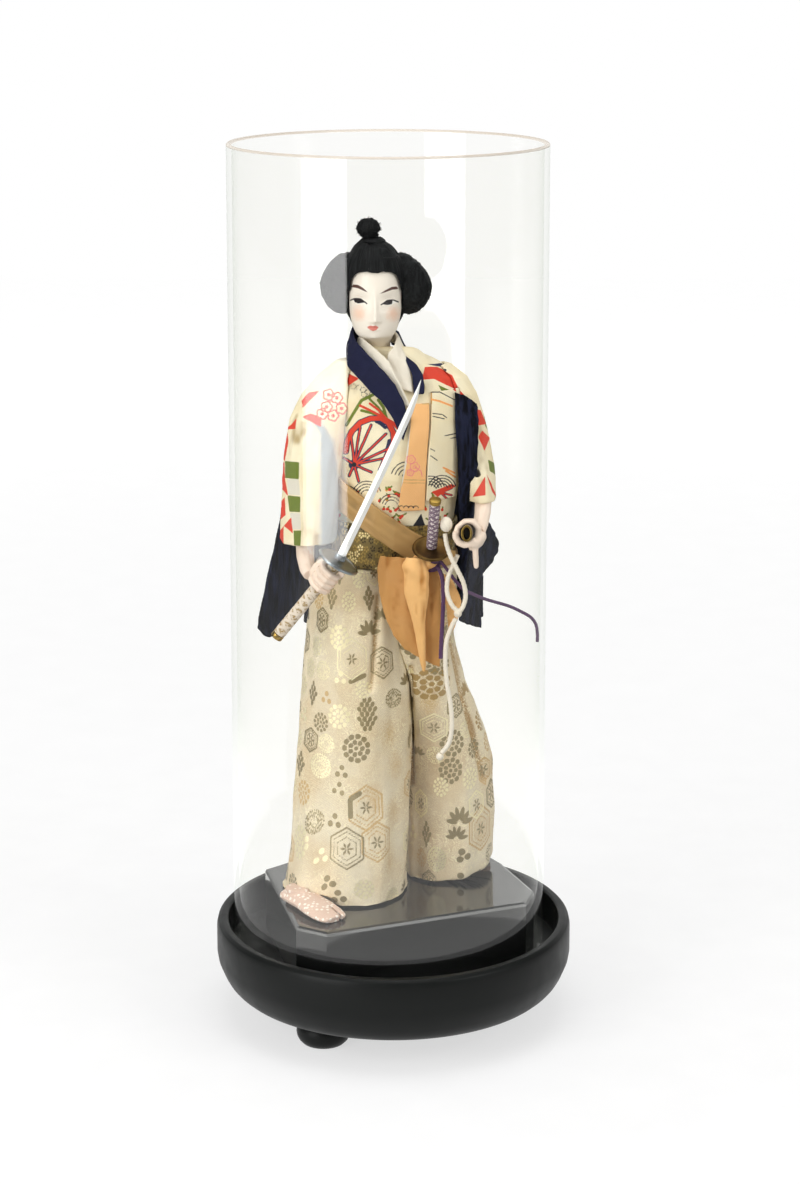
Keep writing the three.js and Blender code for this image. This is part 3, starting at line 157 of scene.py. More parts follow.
@dataclass(frozen=True)
class Finish:
    """One surface finish, built as a Principled material."""

    name: str
    colour: str
    roughness: float = 0.5
    metallic: float = 0.0
    coat: float = 0.0
    sheen: float = 0.0
    specular: float = 0.5
    grain: float = 0.6  # mm between the bumps of the surface
    bump: float = 0.1  # how strongly they show
    mottle: float = 0.08  # how far the colour varies over the piece
    shade: str = ""  # the darker colour it varies towards at random; crepe lays it as painted shade in its rib valleys, and hair, where it is lighter, as painted highlight on its strands
    mottle_size: float = 9.0  # mm
    fold_shade: str = ""  # painted shade: the colour laid into the hollows of its folds

    def make(self) -> bpy.types.Material:
        """Builds the material.

        Returns:
            The finished material.
        """
        material = bpy.data.materials.new(self.name)
        n = Nodes(material)
        place = n.add("TexCoord", out="Object")
        n.place = n.add("VectorMath", (place, None, None, 1 / MM), operation="SCALE")
        relief = n.add("Bump", {"Strength": self.bump, "Distance": 0.0003, "Height": self.height(n)})
        smears = n.add("MapRange", (n.add("TexNoise", (n.place, None, 0.08, 4.0)), 0.3, 0.7,
                                    self.roughness * 0.88, min(1.0, self.roughness * 1.12)))
        shader = n.add("BsdfPrincipled", {
            "Base Color": self.paint(n), "Roughness": smears, "Metallic": self.metal(n), "Normal": relief,
            "Coat Weight": self.coat, "Sheen Weight": self.sheen, "Specular IOR Level": self.specular})
        n.add("OutputMaterial", (self.body(n, shader),))
        return material

    def tone(self, n: Nodes) -> Socket:
        """The base colour, varied a little at random, with painted shade deep in the folds.

        Args:
            n: the material's nodes.

        Returns:
            The colour.
        """
        cloud = n.add("TexNoise", (n.place, None, 1 / self.mottle_size, 3.0))
        amount = n.add("MapRange", (cloud, 0.35, 0.65, 0.0, self.mottle * 3))
        plain = n.add("MixRGB", (amount, self.colour, self.shade or darker(self.colour)))
        if not self.fold_shade:
            return plain
        # painted shade: mixes towards the fold shade colour by how deep each point lies in a fold
        return n.add("MixRGB", (n.add("Attribute", out="Fac", attribute_name="fold"), plain, self.fold_shade))

    def paint(self, n: Nodes) -> Socket:
        """The surface's colour."""
        return self.tone(n)

    def metal(self, n: Nodes) -> float | Socket:
        """How far it is a metal."""
        return self.metallic

    def height(self, n: Nodes) -> Socket:
        """The height of the small bumps."""
        return n.add("TexNoise", (n.place, None, 1 / self.grain))

    def body(self, n: Nodes, shader: Socket) -> Socket:
        """The whole surface, which a see-through finish changes."""
        return shader


@dataclass(frozen=True)
class Glass(Finish):
    """Thin clear glass with a ground, chamfered lip. It lets light and shadow through."""

    edge: str = "#e6e8e5"  # seen along the wall, glass is a little grey
    lip: str = "#d6cbbd"
    lip_height: float = 488.6  # mm above the table
    mirror: float = 0.04  # share mirrored face on

    def body(self, n: Nodes, shader: Socket) -> Socket:
        """A clear and mirror mix, dull and warm on the ground lip.

        Args:
            n: the material's nodes.
            shader: the plain surface, which isn't used.

        Returns:
            The surface.
        """
        grazing = n.add("Math", (n.add("LayerWeight", {"Blend": 0.5}, "Facing"), 5.0), operation="POWER")
        clear = n.add("BsdfTransparent", (n.add("MixRGB", (grazing, self.colour, self.edge)),))
        share = n.add("Math", (grazing, 0.3, self.mirror), operation="MULTIPLY_ADD")
        wall = n.add("AddShader", (clear, n.add("BsdfGlossy", {"Color": share, "Roughness": 0.03})))
        ground = n.add("BsdfPrincipled", {"Base Color": linear(self.lip), "Roughness": 0.4})
        height = n.add("SeparateXYZ", (n.place,), "Z")
        above = n.add("MapRange", (height, self.lip_height, self.lip_height + 0.3, 0.0, 0.8))
        return n.add("MixShader", (above, wall, ground))


@dataclass(frozen=True)
class Woven(Finish):
    """Cloth with a crossing weave that shows as a fine bump."""

    thread: float = 0.7  # mm, drawn coarser than real so that it shows

    def height(self, n: Nodes) -> Socket:
        """Two crossing sets of threads and a little slub.

        Args:
            n: the material's nodes.

        Returns:
            The height.
        """
        look = {"Vector": n.place, "Scale": 0.314 / self.thread, "Distortion": 1.5, "Detail Scale": 0.4}
        sets = [n.add("TexWave", look, "Fac", bands_direction=way) for way in ("Z", "DIAGONAL")]
        slub = n.add("TexNoise", (n.place, None, 1 / self.grain, 3.0))
        return n.add("Math", (n.add("Math", sets, operation="ADD"), slub), operation="ADD")


@dataclass(frozen=True)
class Printed(Woven):
    """Crepe with a resist-dyed print, and painted shade where its shade ink lies: each ink is a signed
    distance kept on the mesh, below zero inside.
    """

    inks: tuple = ()  # name and sRGB colour, from the lowest to the topmost

    def paint(self, n: Nodes) -> Socket:
        """Lays each ink over the ground colour with a soft, uneven edge.

        Args:
            n: the material's nodes.

        Returns:
            The colour.
        """
        colour, bleed = self.tone(n), n.add("TexNoise", (n.place, None, 1.1))
        for name, ink in self.inks:
            edge = n.add("Attribute", out="Fac", attribute_name="ink_" + name)
            rough = n.add("Math", (bleed, 0.3, edge), operation="MULTIPLY_ADD")
            colour = n.add("MixRGB", (n.add("MapRange", (rough, 0.06, 0.26, 1.0, 0.0)), colour, ink))
        return colour


@dataclass(frozen=True)
class Brocade(Printed):
    """Figured silk: motifs of flat metal thread, dark or bright as they turn to the light."""

    threads: tuple = ("taupe", "bright")  # the inks that are metal
    scroll: str = ""  # the colour of fine curls woven into the plain ground
    curl: float = 5.0  # mm between the curls

    def tone(self, n: Nodes) -> Socket:
        """The ground with its fine curls.

        Args:
            n: the material's nodes.

        Returns:
            The colour.
        """
        ground = super().tone(n)
        if not self.scroll:
            return ground
        look = {"Vector": n.place, "Scale": 1 / self.curl, "Detail": 1.0, "Distortion": 1.6}
        rings = n.add("Math", (n.add("TexNoise", look), 42.0), operation="MULTIPLY")
        rings = n.add("MapRange", (n.add("Math", (rings,), operation="SINE"), 0.2, 0.8, 0.0, 0.85))
        where = n.add("MapRange", (n.add("TexNoise", (n.place, None, 0.06)), 0.42, 0.6, 0.3, 1.0))
        return n.add("MixRGB", (n.add("Math", (rings, where), operation="MULTIPLY"), ground, self.scroll))

    def metal(self, n: Nodes) -> Socket:
        """Metal under the threads, silk elsewhere.

        Args:
            n: the material's nodes.

        Returns:
            How far it is a metal.
        """
        edges = [n.add("Attribute", out="Fac", attribute_name="ink_" + name) for name in self.threads]
        inside = [n.add("MapRange", (edge, 0.0, 0.3, 0.55, self.metallic)) for edge in edges]
        return n.add("Math", inside, operation="MAXIMUM")


@dataclass(frozen=True)
class Crepe(Finish):
    """Crepe silk with long crinkled ribs along the drop of the cloth."""

    rib: float = 2.0  # mm

    def height(self, n: Nodes) -> Socket:
        """Ribs that run down the cloth and wander a little.

        Args:
            n: the material's nodes.

        Returns:
            The height.
        """
        squeezed = n.add("VectorMath", (n.place, (1.0, 1.0, 0.12)), operation="MULTIPLY")
        look = {"Vector": squeezed, "Scale": 1 / self.rib, "Detail": 2.0, "Distortion": 0.4}
        return n.add("Math", (n.add("TexNoise", look), 2.0), operation="MULTIPLY")

    def paint(self, n: Nodes) -> Socket:
        """Painted shade: darker in the valleys of the ribs."""
        light = n.add("MapRange", (self.height(n), 0.8, 1.2, 0.0, 1.0))
        return n.add("MixRGB", (light, self.shade, self.colour))


@dataclass(frozen=True)
class Hair(Finish):
    """Combed silk hair: strands kept on the mesh as their own direction."""

    def height(self, n: Nodes) -> Socket:
        """Fine strands along the combing."""
        return n.add("TexNoise", (n.add("Attribute", out="Vector", attribute_name="comb"), None, 1.6, 3.0))

    def paint(self, n: Nodes) -> Socket:
        """Painted highlight: the raised strands are a little lighter."""
        light = n.add("MapRange", (self.height(n), 0.4, 0.7, 0.0, 1.0))
        return n.add("MixRGB", (light, self.colour, self.shade))


@dataclass(frozen=True)
class Dotted(Woven):
    """Sock cloth with small pale spots."""

    spot: str = "#f3e6df"
    spacing: float = 2.6  # mm

    def paint(self, n: Nodes) -> Socket:
        """Spots on the ground colour.

        Args:
            n: the material's nodes.

        Returns:
            The colour.
        """
        look = {"Vector": n.place, "Scale": 1 / self.spacing, "Randomness": 0.5}
        spots = n.add("TexVoronoi", look, "Distance")
        return n.add("MixRGB", (n.add("MapRange", (spots, 0.3, 0.38, 1.0, 0.0)), self.tone(n), self.spot))


@dataclass(frozen=True)
class Wound(Finish):
    """Flat cord wound crosswise on a grip: raised bands with diamonds of skin and flecks between them."""

    fleck: str = "#c9a83a"
    pitch: float = 5.2  # mm from one crossing to the next
    girth: float = 9.0  # mm half round the grip

    def bands(self, n: Nodes) -> Socket:
        """How far up a band a point lies.

        Args:
            n: the material's nodes.

        Returns:
            From 0 in a diamond to 1 on a band.
        """
        grip = n.add("Attribute", out="Vector", attribute_name="grip")
        along = n.add("SeparateXYZ", (grip,)).node.outputs
        bands = []
        for slant in (1.0, -1.0):
            phase = n.add("Math", (along[1], slant * math.pi / self.girth), operation="MULTIPLY")
            phase = n.add("Math", (along[0], math.pi / self.pitch, phase), operation="MULTIPLY_ADD")
            bands.append(n.add("Math", (n.add("Math", (phase,), operation="SINE"),), operation="ABSOLUTE"))
        return n.add("MapRange", (n.add("Math", bands, operation="MAXIMUM"), 0.8, 0.92, 0.0, 1.0))

    def height(self, n: Nodes) -> Socket:
        """The bands and their threads."""
        threads = n.add("TexNoise", (n.place, None, 1.6))
        return n.add("Math", (threads, 0.25, self.bands(n)), operation="MULTIPLY_ADD")

    def paint(self, n: Nodes) -> Socket:
        """Flecks in the diamonds.

        Args:
            n: the material's nodes.

        Returns:
            The colour.
        """
        low = n.add("Math", (1.0, self.bands(n)), operation="SUBTRACT")
        spots = n.add("MapRange", (n.add("TexNoise", (n.place, None, 0.8)), 0.45, 0.55, 0.15, 0.9))
        amount = n.add("Math", (spots, low), operation="MULTIPLY")
        return n.add("MixRGB", (amount, self.tone(n), self.fleck))


# shade is painted shade on the right sleeve's front; the other inks are print
INKS = (("shade", "#a8afb3"), ("tan", "#c39a5e"), ("pale", "#d9d3c4"), ("orange", "#f0a35a"),
        ("pink", "#eb8d86"), ("olive", "#6b7a2b"), ("navy", "#2a2f4f"), ("red", "#d9402a"),
        ("line", "#23242c"))
WEAVE_INKS = (("warm", "#cfae78"), ("brown", "#ad8f5a"), ("taupe", "#a39470"), ("bright", "#fbf0c8"))
FACE_INKS = (("blush", "#f3d0b8"), ("lips", "#dc8274"), ("crease", "#d0b49c"), ("brow", "#5c4038"),
             ("white", "#f6f2ea"), ("eye", "#1d1416"))

FINISHES = (
    # Satin paint on turned wood: dark, with a soft wide highlight
    Finish("black_wood", "#151716", 0.42, specular=0.18, grain=3, bump=0.05, mottle=0.1, shade="#141615"),
    # Blown and cut glass, washed: clear, with the softbox in its left side
    Glass("clear_glass", "#fdfdfc"),
    # Polished lacquer on board: nearly a mirror, with faint dust
    Finish("black_lacquer", "#121313", 0.09, coat=0.5, grain=6, bump=0.02, shade="#1c1d1d"),
    # Plain turned wood of the posts
    Finish("plain_wood", "#b08a5a", 0.6),
    # Napped cotton with woven spots
    Dotted("sock_cloth", "#dfc3b1", 0.9, shade="#cdab98", spot="#f6ebe0"),
    # Silk woven with flat gilt thread, worn: ivory on the legs, gold on the obi; painted shade in the folds
    # of the legs
    Brocade("ivory_brocade", "#e8dbbf", 0.5, grain=0.9, bump=0.3, mottle=0.2, shade="#d6b98a",
            mottle_size=26, inks=WEAVE_INKS, scroll="#f8ecc8", fold_shade="#b18c55"),
    Brocade("gold_brocade", "#7d6a3a", 0.45, 0.3, bump=0.3, shade="#574921",
            inks=(("brown", "#3f3318"), ("taupe", "#a58a4a"), ("bright", "#ead79c"))),
    # Loose cotton wadding
    Finish("stuffing", "#e8e0d0", 0.9),
    # Silk crepe, printed through paste resist, with painted shade in its folds and in its shade ink
    Printed("printed_crepe", "#efe4c6", 0.85, grain=0.8, bump=0.2, shade="#e6d3a4", mottle=0.16,
            mottle_size=16, inks=INKS, fold_shade="#b9a378"),
    Printed("peach_crepe", "#f3bc7e", 0.85, grain=0.8, bump=0.2, shade="#e8ab6a", inks=INKS),
    # Dyed silks and crepes, matt, paler where they are worn, with painted shade in their folds
    Woven("tan_silk", "#bd965c", 0.6, grain=1.2, bump=0.18, shade="#9c7846", mottle_size=14, fold_shade="#66502c"),
    Woven("amber_crepe", "#edb977", 0.75, grain=0.9, bump=0.2, shade="#dfa45e", mottle_size=8,
          fold_shade="#c17f38"),
    # painted shade: a darker copy of amber crepe for the back tail, which hangs behind the front one
    Woven("orange_crepe", "#cb9556", 0.75, grain=0.9, bump=0.2, shade="#c5893f", mottle_size=8,
          fold_shade="#a2641f"),
    Woven("white_cloth", "#ebe3d4", 0.85, grain=0.8, bump=0.2, shade="#dccfb8"),
    Woven("navy_cloth", "#22243d", 0.9, specular=0.1, grain=0.8, bump=0.2, shade="#1a1b30"),
    # navy crepe: painted shade in the valleys of its ribs
    Crepe("navy_crepe", "#1e2236", 0.9, specular=0.08, bump=0.9, shade="#0d0e16"),
    # Powdered shell white over moulded composition: matt, with a faint polish
    Printed("painted_face", "#f5ecdf", 0.42, grain=2, bump=0.03, mottle=0.05, shade="#eadfce", inks=FACE_INKS,
            thread=9),
    Finish("painted_skin", "#f3dfcd", 0.45, grain=2, bump=0.04, mottle=0.1, shade="#e6c9b4", mottle_size=6),
    # Raw black silk, combed and waxed, with painted highlight on its raised strands
    Hair("black_hair", "#0f1011", 0.62, specular=0.12, bump=0.7, shade="#222425"),
    # Polished and cast metals, the yellow ones tarnished; the steel's near-white, partly matt colour is
    # partly painted reflection of the white surround over a real mirror share
    # painted reflection: the near-white matt share stands in for the blade mirroring the white surround
    Finish("bright_steel", "#fbfcfa", 0.32, 0.35, grain=8, bump=0.02, mottle=0.03),
    Finish("silver", "#a3adb4", 0.3, 1, grain=1.5, bump=0.12, mottle=0.2, shade="#6f7a82"),
    Finish("brass", "#ab8d48", 0.35, 1, grain=1.5, bump=0.08, mottle=0.2, shade="#7b6432"),
    Finish("bronze", "#7b6138", 0.42, 1, grain=1.5, bump=0.15, mottle=0.25, shade="#4d3c22"),
    # Flat silk braid wound over ray skin
    Wound("grip_wrap", "#e6d9c8", 0.75, bump=0.6, shade="#d3c0a8", fleck="#9c7d3c"),
    Wound("purple_grip_wrap", "#7d6677", 0.8, bump=0.6, shade="#5a4459", fleck="#ece2de", pitch=3, girth=6),
    # Brown lacquer on wood, rubbed
    Finish("scabbard_lacquer", "#3b2c1d", 0.22, coat=0.5, grain=5, bump=0.03, mottle=0.2, shade="#241a10"),
    # Twisted cotton and silk cord
    Woven("white_cord", "#efe6d6", 0.8, sheen=0.1, grain=0.5, bump=0.2, shade="#dccfb9", thread=0.5),
    Woven("purple_cord", "#5a3a62", 0.8, sheen=0.1, grain=0.5, bump=0.2, shade="#3a2442", thread=0.5),
)


# Meshes


def from_bmesh(name: str, bm: bmesh.types.BMesh, sharp: float = 35.0) -> Piece:
    """Turns a bmesh into a shown object with outward faces.

    Args:
        name: the object's name.
        bm: the bmesh, which is freed.
        sharp: the angle in degrees up to which it is shaded smooth.

    Returns:
        The object.
    """
    bmesh.ops.recalc_face_normals(bm, faces=bm.faces)
    mesh = bpy.data.meshes.new(name)
    bm.to_mesh(mesh)
    bm.free()
    mesh.shade_smooth()
    mesh.set_sharp_from_angle(angle=math.radians(sharp))
    piece = bpy.data.objects.new(name, mesh)
    bpy.context.collection.objects.link(piece)
    return piece


def merged(nodes: tuple[str, ...], over: tuple = ()) -> bmesh.types.BMesh:
    """A bmesh of CAD nodes with their loose triangles welded.

    Args:
        nodes: the nodes.
        over: a node that fills them from below, and the height in mm from which it is taken.

    Returns:
        The bmesh.
    """
    bm = bmesh.new()
    if over:
        bm.from_mesh(frame["nodes"][over[0]].data)
        bmesh.ops.remove_doubles(bm, verts=bm.verts, dist=1e-6)
        bmesh.ops.bisect_plane(bm, geom=bm.verts[:] + bm.edges[:] + bm.faces[:], clear_inner=True,
                               plane_co=(0, 0, over[1] * MM), plane_no=(0, 0, 1))
        bmesh.ops.holes_fill(bm, edges=[e for e in bm.edges if e.is_boundary])
    for node in nodes:
        bm.from_mesh(frame["nodes"][node].data)
    bmesh.ops.remove_doubles(bm, verts=bm.verts, dist=1e-6)
    return bm


def keep_largest(bm: bmesh.types.BMesh) -> None:
    """Deletes the crumbs beside the largest island.

    Args:
        bm: the bmesh, changed in place.
    """
    left = set(bm.verts)
    islands = []
    while left:
        seed = left.pop()
        island, edge = [seed], [seed]
        while edge:
            near = [e.other_vert(v) for v in edge for e in v.link_edges]
            edge = [v for v in dict.fromkeys(near) if v in left]
            left.difference_update(edge)
            island.extend(edge)
        islands.append(island)
    for island in sorted(islands, key=len)[:-1]:
        bmesh.ops.delete(bm, geom=island, context="VERTS")


def bevelled(bm: bmesh.types.BMesh, edges: list, size: float, segments: int) -> None:
    """Rounds edges by a size in mm."""
    bmesh.ops.bevel(bm, geom=edges, offset=size * MM, offset_type="OFFSET", affect="EDGES", segments=segments,
                    profile=0.5, material=-1, clamp_overlap=True)


def bent(edge: bmesh.types.BMEdge, angle: float) -> bool:
    """Whether two faces meet at an edge at more than an angle in degrees."""
    return len(edge.link_faces) == 2 and edge.calc_face_angle(0) > math.radians(angle)


def read(mesh: bpy.types.Mesh, field: str) -> Array:
    """Reads the vertices.

    Args:
        mesh: the mesh.
        field: co for places in mm, normal for normals.

    Returns:
        A row for each vertex.
    """
    flat = np.empty(len(mesh.vertices) * 3, np.float32)
    mesh.vertices.foreach_get(field, flat)
    return flat.reshape(-1, 3).astype(float) * (1000 if field == "co" else 1)


def store(mesh: bpy.types.Mesh, name: str, values: Array) -> None:
    """Keeps a number or a vector at each vertex for the material to read."""
    kind, field = ("FLOAT", "value") if values.ndim == 1 else ("FLOAT_VECTOR", "vector")
    mesh.attributes.new(name, kind, "POINT").data.foreach_set(field, values.astype(np.float32).ravel())


def dress(piece: Piece, slot: str, body: Body = Body.DOLL, nodes: tuple = (), finish: str = "") -> None:
    """Gives a piece its finish, lets it ride and puts it in its nodes' place.

    Args:
        piece: the piece.
        slot: its material slot in the record.
        body: what it rides on.
        nodes: the CAD nodes that it stands for, where its own name doesn't say so.
        finish: its finish, where that isn't the slot's.
    """
    piece.data.materials.clear()
    piece.data.materials.append(MADE[finish or slot])
    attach(piece, body.value)
    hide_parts(*(nodes or (piece.name.rpartition("_")[0],)))
    LOG.info("%s: %d vertices", piece.name, len(piece.data.vertices))


class Clay:
    """A closed mesh under the modeller's hands. Its points are arrays in mm."""

    def __init__(self, name: str, voxel: float, relax: int = 3, crumbs: bool = False, nodes: tuple = (),
                 over: tuple = ()) -> None:
        """Makes one even mesh over CAD nodes.

        Args:
            name: the piece's name, which is its node's with one word more.
            voxel: the size of its faces in mm.
            relax: rounds of smoothing.
            crumbs: whether loose crumbs are cleared away.
            nodes: the CAD nodes that it stands for, where its name doesn't say so.
            over: a node under them that closes their gaps, and the height in mm from which it does.
        """
        self.nodes = nodes or (name.rpartition("_")[0],)
        blank = from_bmesh(name + "_blank", merged(self.nodes, over))
        even = blank.modifiers.new("even", "REMESH")
        even.mode, even.voxel_size = "VOXEL", voxel * MM
        soft = blank.modifiers.new("soft", "SMOOTH")
        soft.factor, soft.iterations = 0.5, relax
        graph = bpy.context.evaluated_depsgraph_get()
        bm = bmesh.new()
        bm.from_mesh(bpy.data.meshes.new_from_object(blank.evaluated_get(graph), depsgraph=graph))
        bpy.data.objects.remove(blank)
        if crumbs:
            keep_largest(bm)
        self.piece = from_bmesh(name, bm, 180)
        self.mesh = self.piece.data
        self.points = read(self.mesh, "co")

    def normals(self) -> Array:
        """The vertices' normals."""
        return read(self.mesh, "normal")

    def set(self, points: Array) -> None:
        """Moves the vertices.

        Args:
            points: their new places in mm.
        """
        self.points = points
        self.mesh.vertices.foreach_set("co", (points * MM).astype(np.float32).ravel())
        self.mesh.update()

    def shift(self, x: Array | float = 0, y: Array | float = 0, z: Array | float = 0) -> None:
        """Moves the vertices by these mm."""
        self.set(self.points + np.stack(np.broadcast_arrays(x, y, z, self.points[:, 0])[:3], 1))

    def push(self, amount: Array) -> None:
        """Moves the vertices out along their normals by these mm."""
        self.set(self.points + self.normals() * amount[:, None])

    def drape(self, amount: Array, low: float, high: float = 0.0, more: Array | float = 0.0) -> None:
        """Lays folds of these mm into cloth, and keeps how deep each point lies in a hollow for its painted
        fold shade.

        Args:
            amount: how far each point moves out.
            low: the height at which a hollow has its full painted shade, in mm.
            high: the height at which that painted shade begins, in mm.
            more: a share of painted shade that is there besides.
        """
        self.push(amount)
        # painted shade: the fold attribute says how much fold shade colour is painted at each point
        store(self.mesh, "fold", np.clip(step(amount, high, low) + more, 0, 1))

    def noise(self, scale: float, seed: int, *stretch: float) -> Array:
        """Smooth lumps over the piece, drawn out where a stretch of the axes is below 1."""
        return noise(self.points * (stretch or 1), scale, seed)

    def xyz(self) -> Array:
        """The three coordinates in mm."""
        return self.points.T

    def front_view(self) -> tuple[Array, Array]:
        """Each point's place on the doll's front.

        Returns:
            How far right and how high it is seen on that plane from the camera, in mm.
        """
        x, y, z = self.xyz()
        eye_x, eye_y, eye_z, plane = 3.7, -1417.0, 613.0, -25.0
        share = (plane - eye_y) / (y - eye_y)
        return eye_x + (x - eye_x) * share, eye_z - (eye_z - z) * share

    def done(self, slot: str, finish: str = "") -> Piece:
        """Dresses the piece."""
        dress(self.piece, slot, nodes=self.nodes, finish=finish)
        return self.piece

    def sheet(self, slot: str, flat: tuple, held: str, rests: str = BODY_CLOTH, finish: str = "",
              **more: object) -> Piece:
        """Args:
            slot: its material slot.
            flat: its flat size in m; not used.
            held: how it is held; not used.
            rests: the piece that it rests on; not used.
            finish: its finish, where that isn't the slot's.
            more: what else is said of the sheet; not used.

        Returns:
            The piece.
        """
        self.done(slot, finish)
        return self.piece


def turned(name: str, profile: list[tuple[float, float]], steps: int = 96, place: tuple = (0, 0, 0),
           bevel: float = 0.0) -> Piece:
    """A turned piece.

    Args:
        name: the piece's name.
        profile: radius and height in mm, from the lower pole outwards and back to the axis.
        steps: facets all round.
        place: where its axis stands, in mm.
        bevel: size of the rounding on its sharp level edges, in mm.

    Returns:
        The piece.
    """
    bm = bmesh.new()
    verts = [bm.verts.new((r * MM, 0, z * MM)) for r, z in profile]
    edges = [bm.edges.new(pair) for pair in zip(verts, verts[1:])]
    if profile[0][0] > 0:
        edges.append(bm.edges.new((verts[-1], verts[0])))
    bmesh.ops.spin(bm, geom=verts + edges, cent=(0, 0, 0), axis=(0, 0, 1), angle=TURN, steps=steps,
                   use_merge=True, use_duplicate=False)
    bmesh.ops.remove_doubles(bm, verts=bm.verts, dist=1e-7)
    bmesh.ops.recalc_face_normals(bm, faces=bm.faces)
    if bevel:
        bevelled(bm, [e for e in bm.edges if bent(e, 28) and e.calc_length() > 1e-5
                      and abs(e.verts[0].co.z - e.verts[1].co.z) < 1e-6], bevel, 3)
    bmesh.ops.translate(bm, verts=bm.verts, vec=Vector(place) * MM)
    return from_bmesh(name, bm)


# Cords


@dataclass
class CordRun:
    """One free cord along its route, twisted from three strands."""

    name: str
    slot: str
    radius: float  # mm
    far_end: str
    beside: tuple  # the nodes at its ends
    route: tuple  # mm, in the doll's own space
    twist: float = 7.0  # mm for a full turn of the strands
    sides: int = 12
    step: float = 0.5  # mm between its rings

    def path(self) -> Array:
        """The route as a smooth line.

        Returns:
            Its points, one step apart, in mm above the table.
        """
        knots = np.array(self.route, float) + (0, 0, PLINTH_TOP)
        fine = []
        count = len(knots)
        for i in range(count - 1):
            p0, p1, p2, p3 = (knots[min(max(k, 0), count - 1)] for k in range(i - 1, i + 3))
            for t in np.linspace(0, 1, 24, endpoint=False):
                fine.append(0.5 * (2 * p1 + (p2 - p0) * t + (2 * p0 - 5 * p1 + 4 * p2 - p3) * t * t
                                   + (3 * p1 - p0 - 3 * p2 + p3) * t ** 3))
        fine = np.array(fine + [knots[-1]])
        run = np.concatenate([[0], np.cumsum(np.linalg.norm(np.diff(fine, axis=0), axis=1))])
        even = np.linspace(0, run[-1], int(run[-1] / self.step) + 1)
        return np.stack([np.interp(even, run, fine[:, k]) for k in range(3)], axis=1)

    def make(self) -> None:
        path = self.path()
        bm = bmesh.new()
        side = Vector((1, 0, 0))
        rings = []
        for i, p in enumerate(path):
            ahead = Vector(path[min(i + 1, len(path) - 1)] - path[max(i - 1, 0)]).normalized()
            side = (side - ahead * side.dot(ahead)).normalized()
            other = ahead.cross(side)
            ring = []
            for k in range(self.sides):
                angle = TURN * k / self.sides
                lobe = abs(math.cos(1.5 * (angle - i * self.step / self.twist * TURN)))
                out = side * math.cos(angle) + other * math.sin(angle)
                ring.append(bm.verts.new((Vector(p) + out * (self.radius * (0.84 + 0.16 * lobe))) * MM))
            rings.append(ring)
        for low, high in zip(rings, rings[1:]):
            for k in range(self.sides):
                n = (k + 1) % self.sides
                bm.faces.new((low[k], low[n], high[n], high[k]))
        bm.faces.new(rings[0])
        bm.faces.new(rings[-1])
        piece = from_bmesh(self.name + "_twisted", bm, 70)
        dress(piece, self.slot)


CORDS = (
    CordRun("white_cord_loops", "white_cord", 1.3, "object", ("white_cord_knot", "white_cord_slide"), (
        (27.6, -47.2, 213), (28.6, -48, 207), (31, -48.8, 200), (34, -49, 194), (37.6, -48.6, 186),
        (38.6, -48, 178), (36, -47.4, 171), (32, -47, 173), (29, -46.6, 180), (29.2, -46, 188),
        (32, -45.4, 195), (34.4, -45.6, 201))),
    CordRun("white_cord_tail", "white_cord", 1.3, "knot", ("white_cord_end_knot",), (
        (33.6, -47.8, 166.6), (31.2, -47.8, 162), (28.6, -47.6, 154), (28, -47.4, 142), (29, -47.2, 130),
        (31, -47, 118), (31.6, -46.8, 106), (30, -46.6, 97), (26.2, -46.4, 91.5))),
    CordRun("purple_cord_drop", "purple_cord", 1.2, "bare", (), (
        (22.8, -38.6, 194), (26, -41.2, 188.6), (26.9, -42, 178), (26.6, -42.2, 166), (26, -42.2, 154),
        (25.6, -42.2, 143))),
    CordRun("purple_cord_long", "purple_cord", 0.95, "bare", (), (
        (24.4, -38.6, 197), (28.6, -40.2, 192), (33, -40.5, 186), (38, -38, 180), (44, -34, 176),
        (50, -28, 172), (57, -22, 168.4), (64, -15, 164.4), (70.4, -9.6, 160), (75.8, -5, 155.6),
        (78.8, -2, 150.6), (79.7, -1, 145), (79.7, -0.8, 140.6))),
)


# Prints


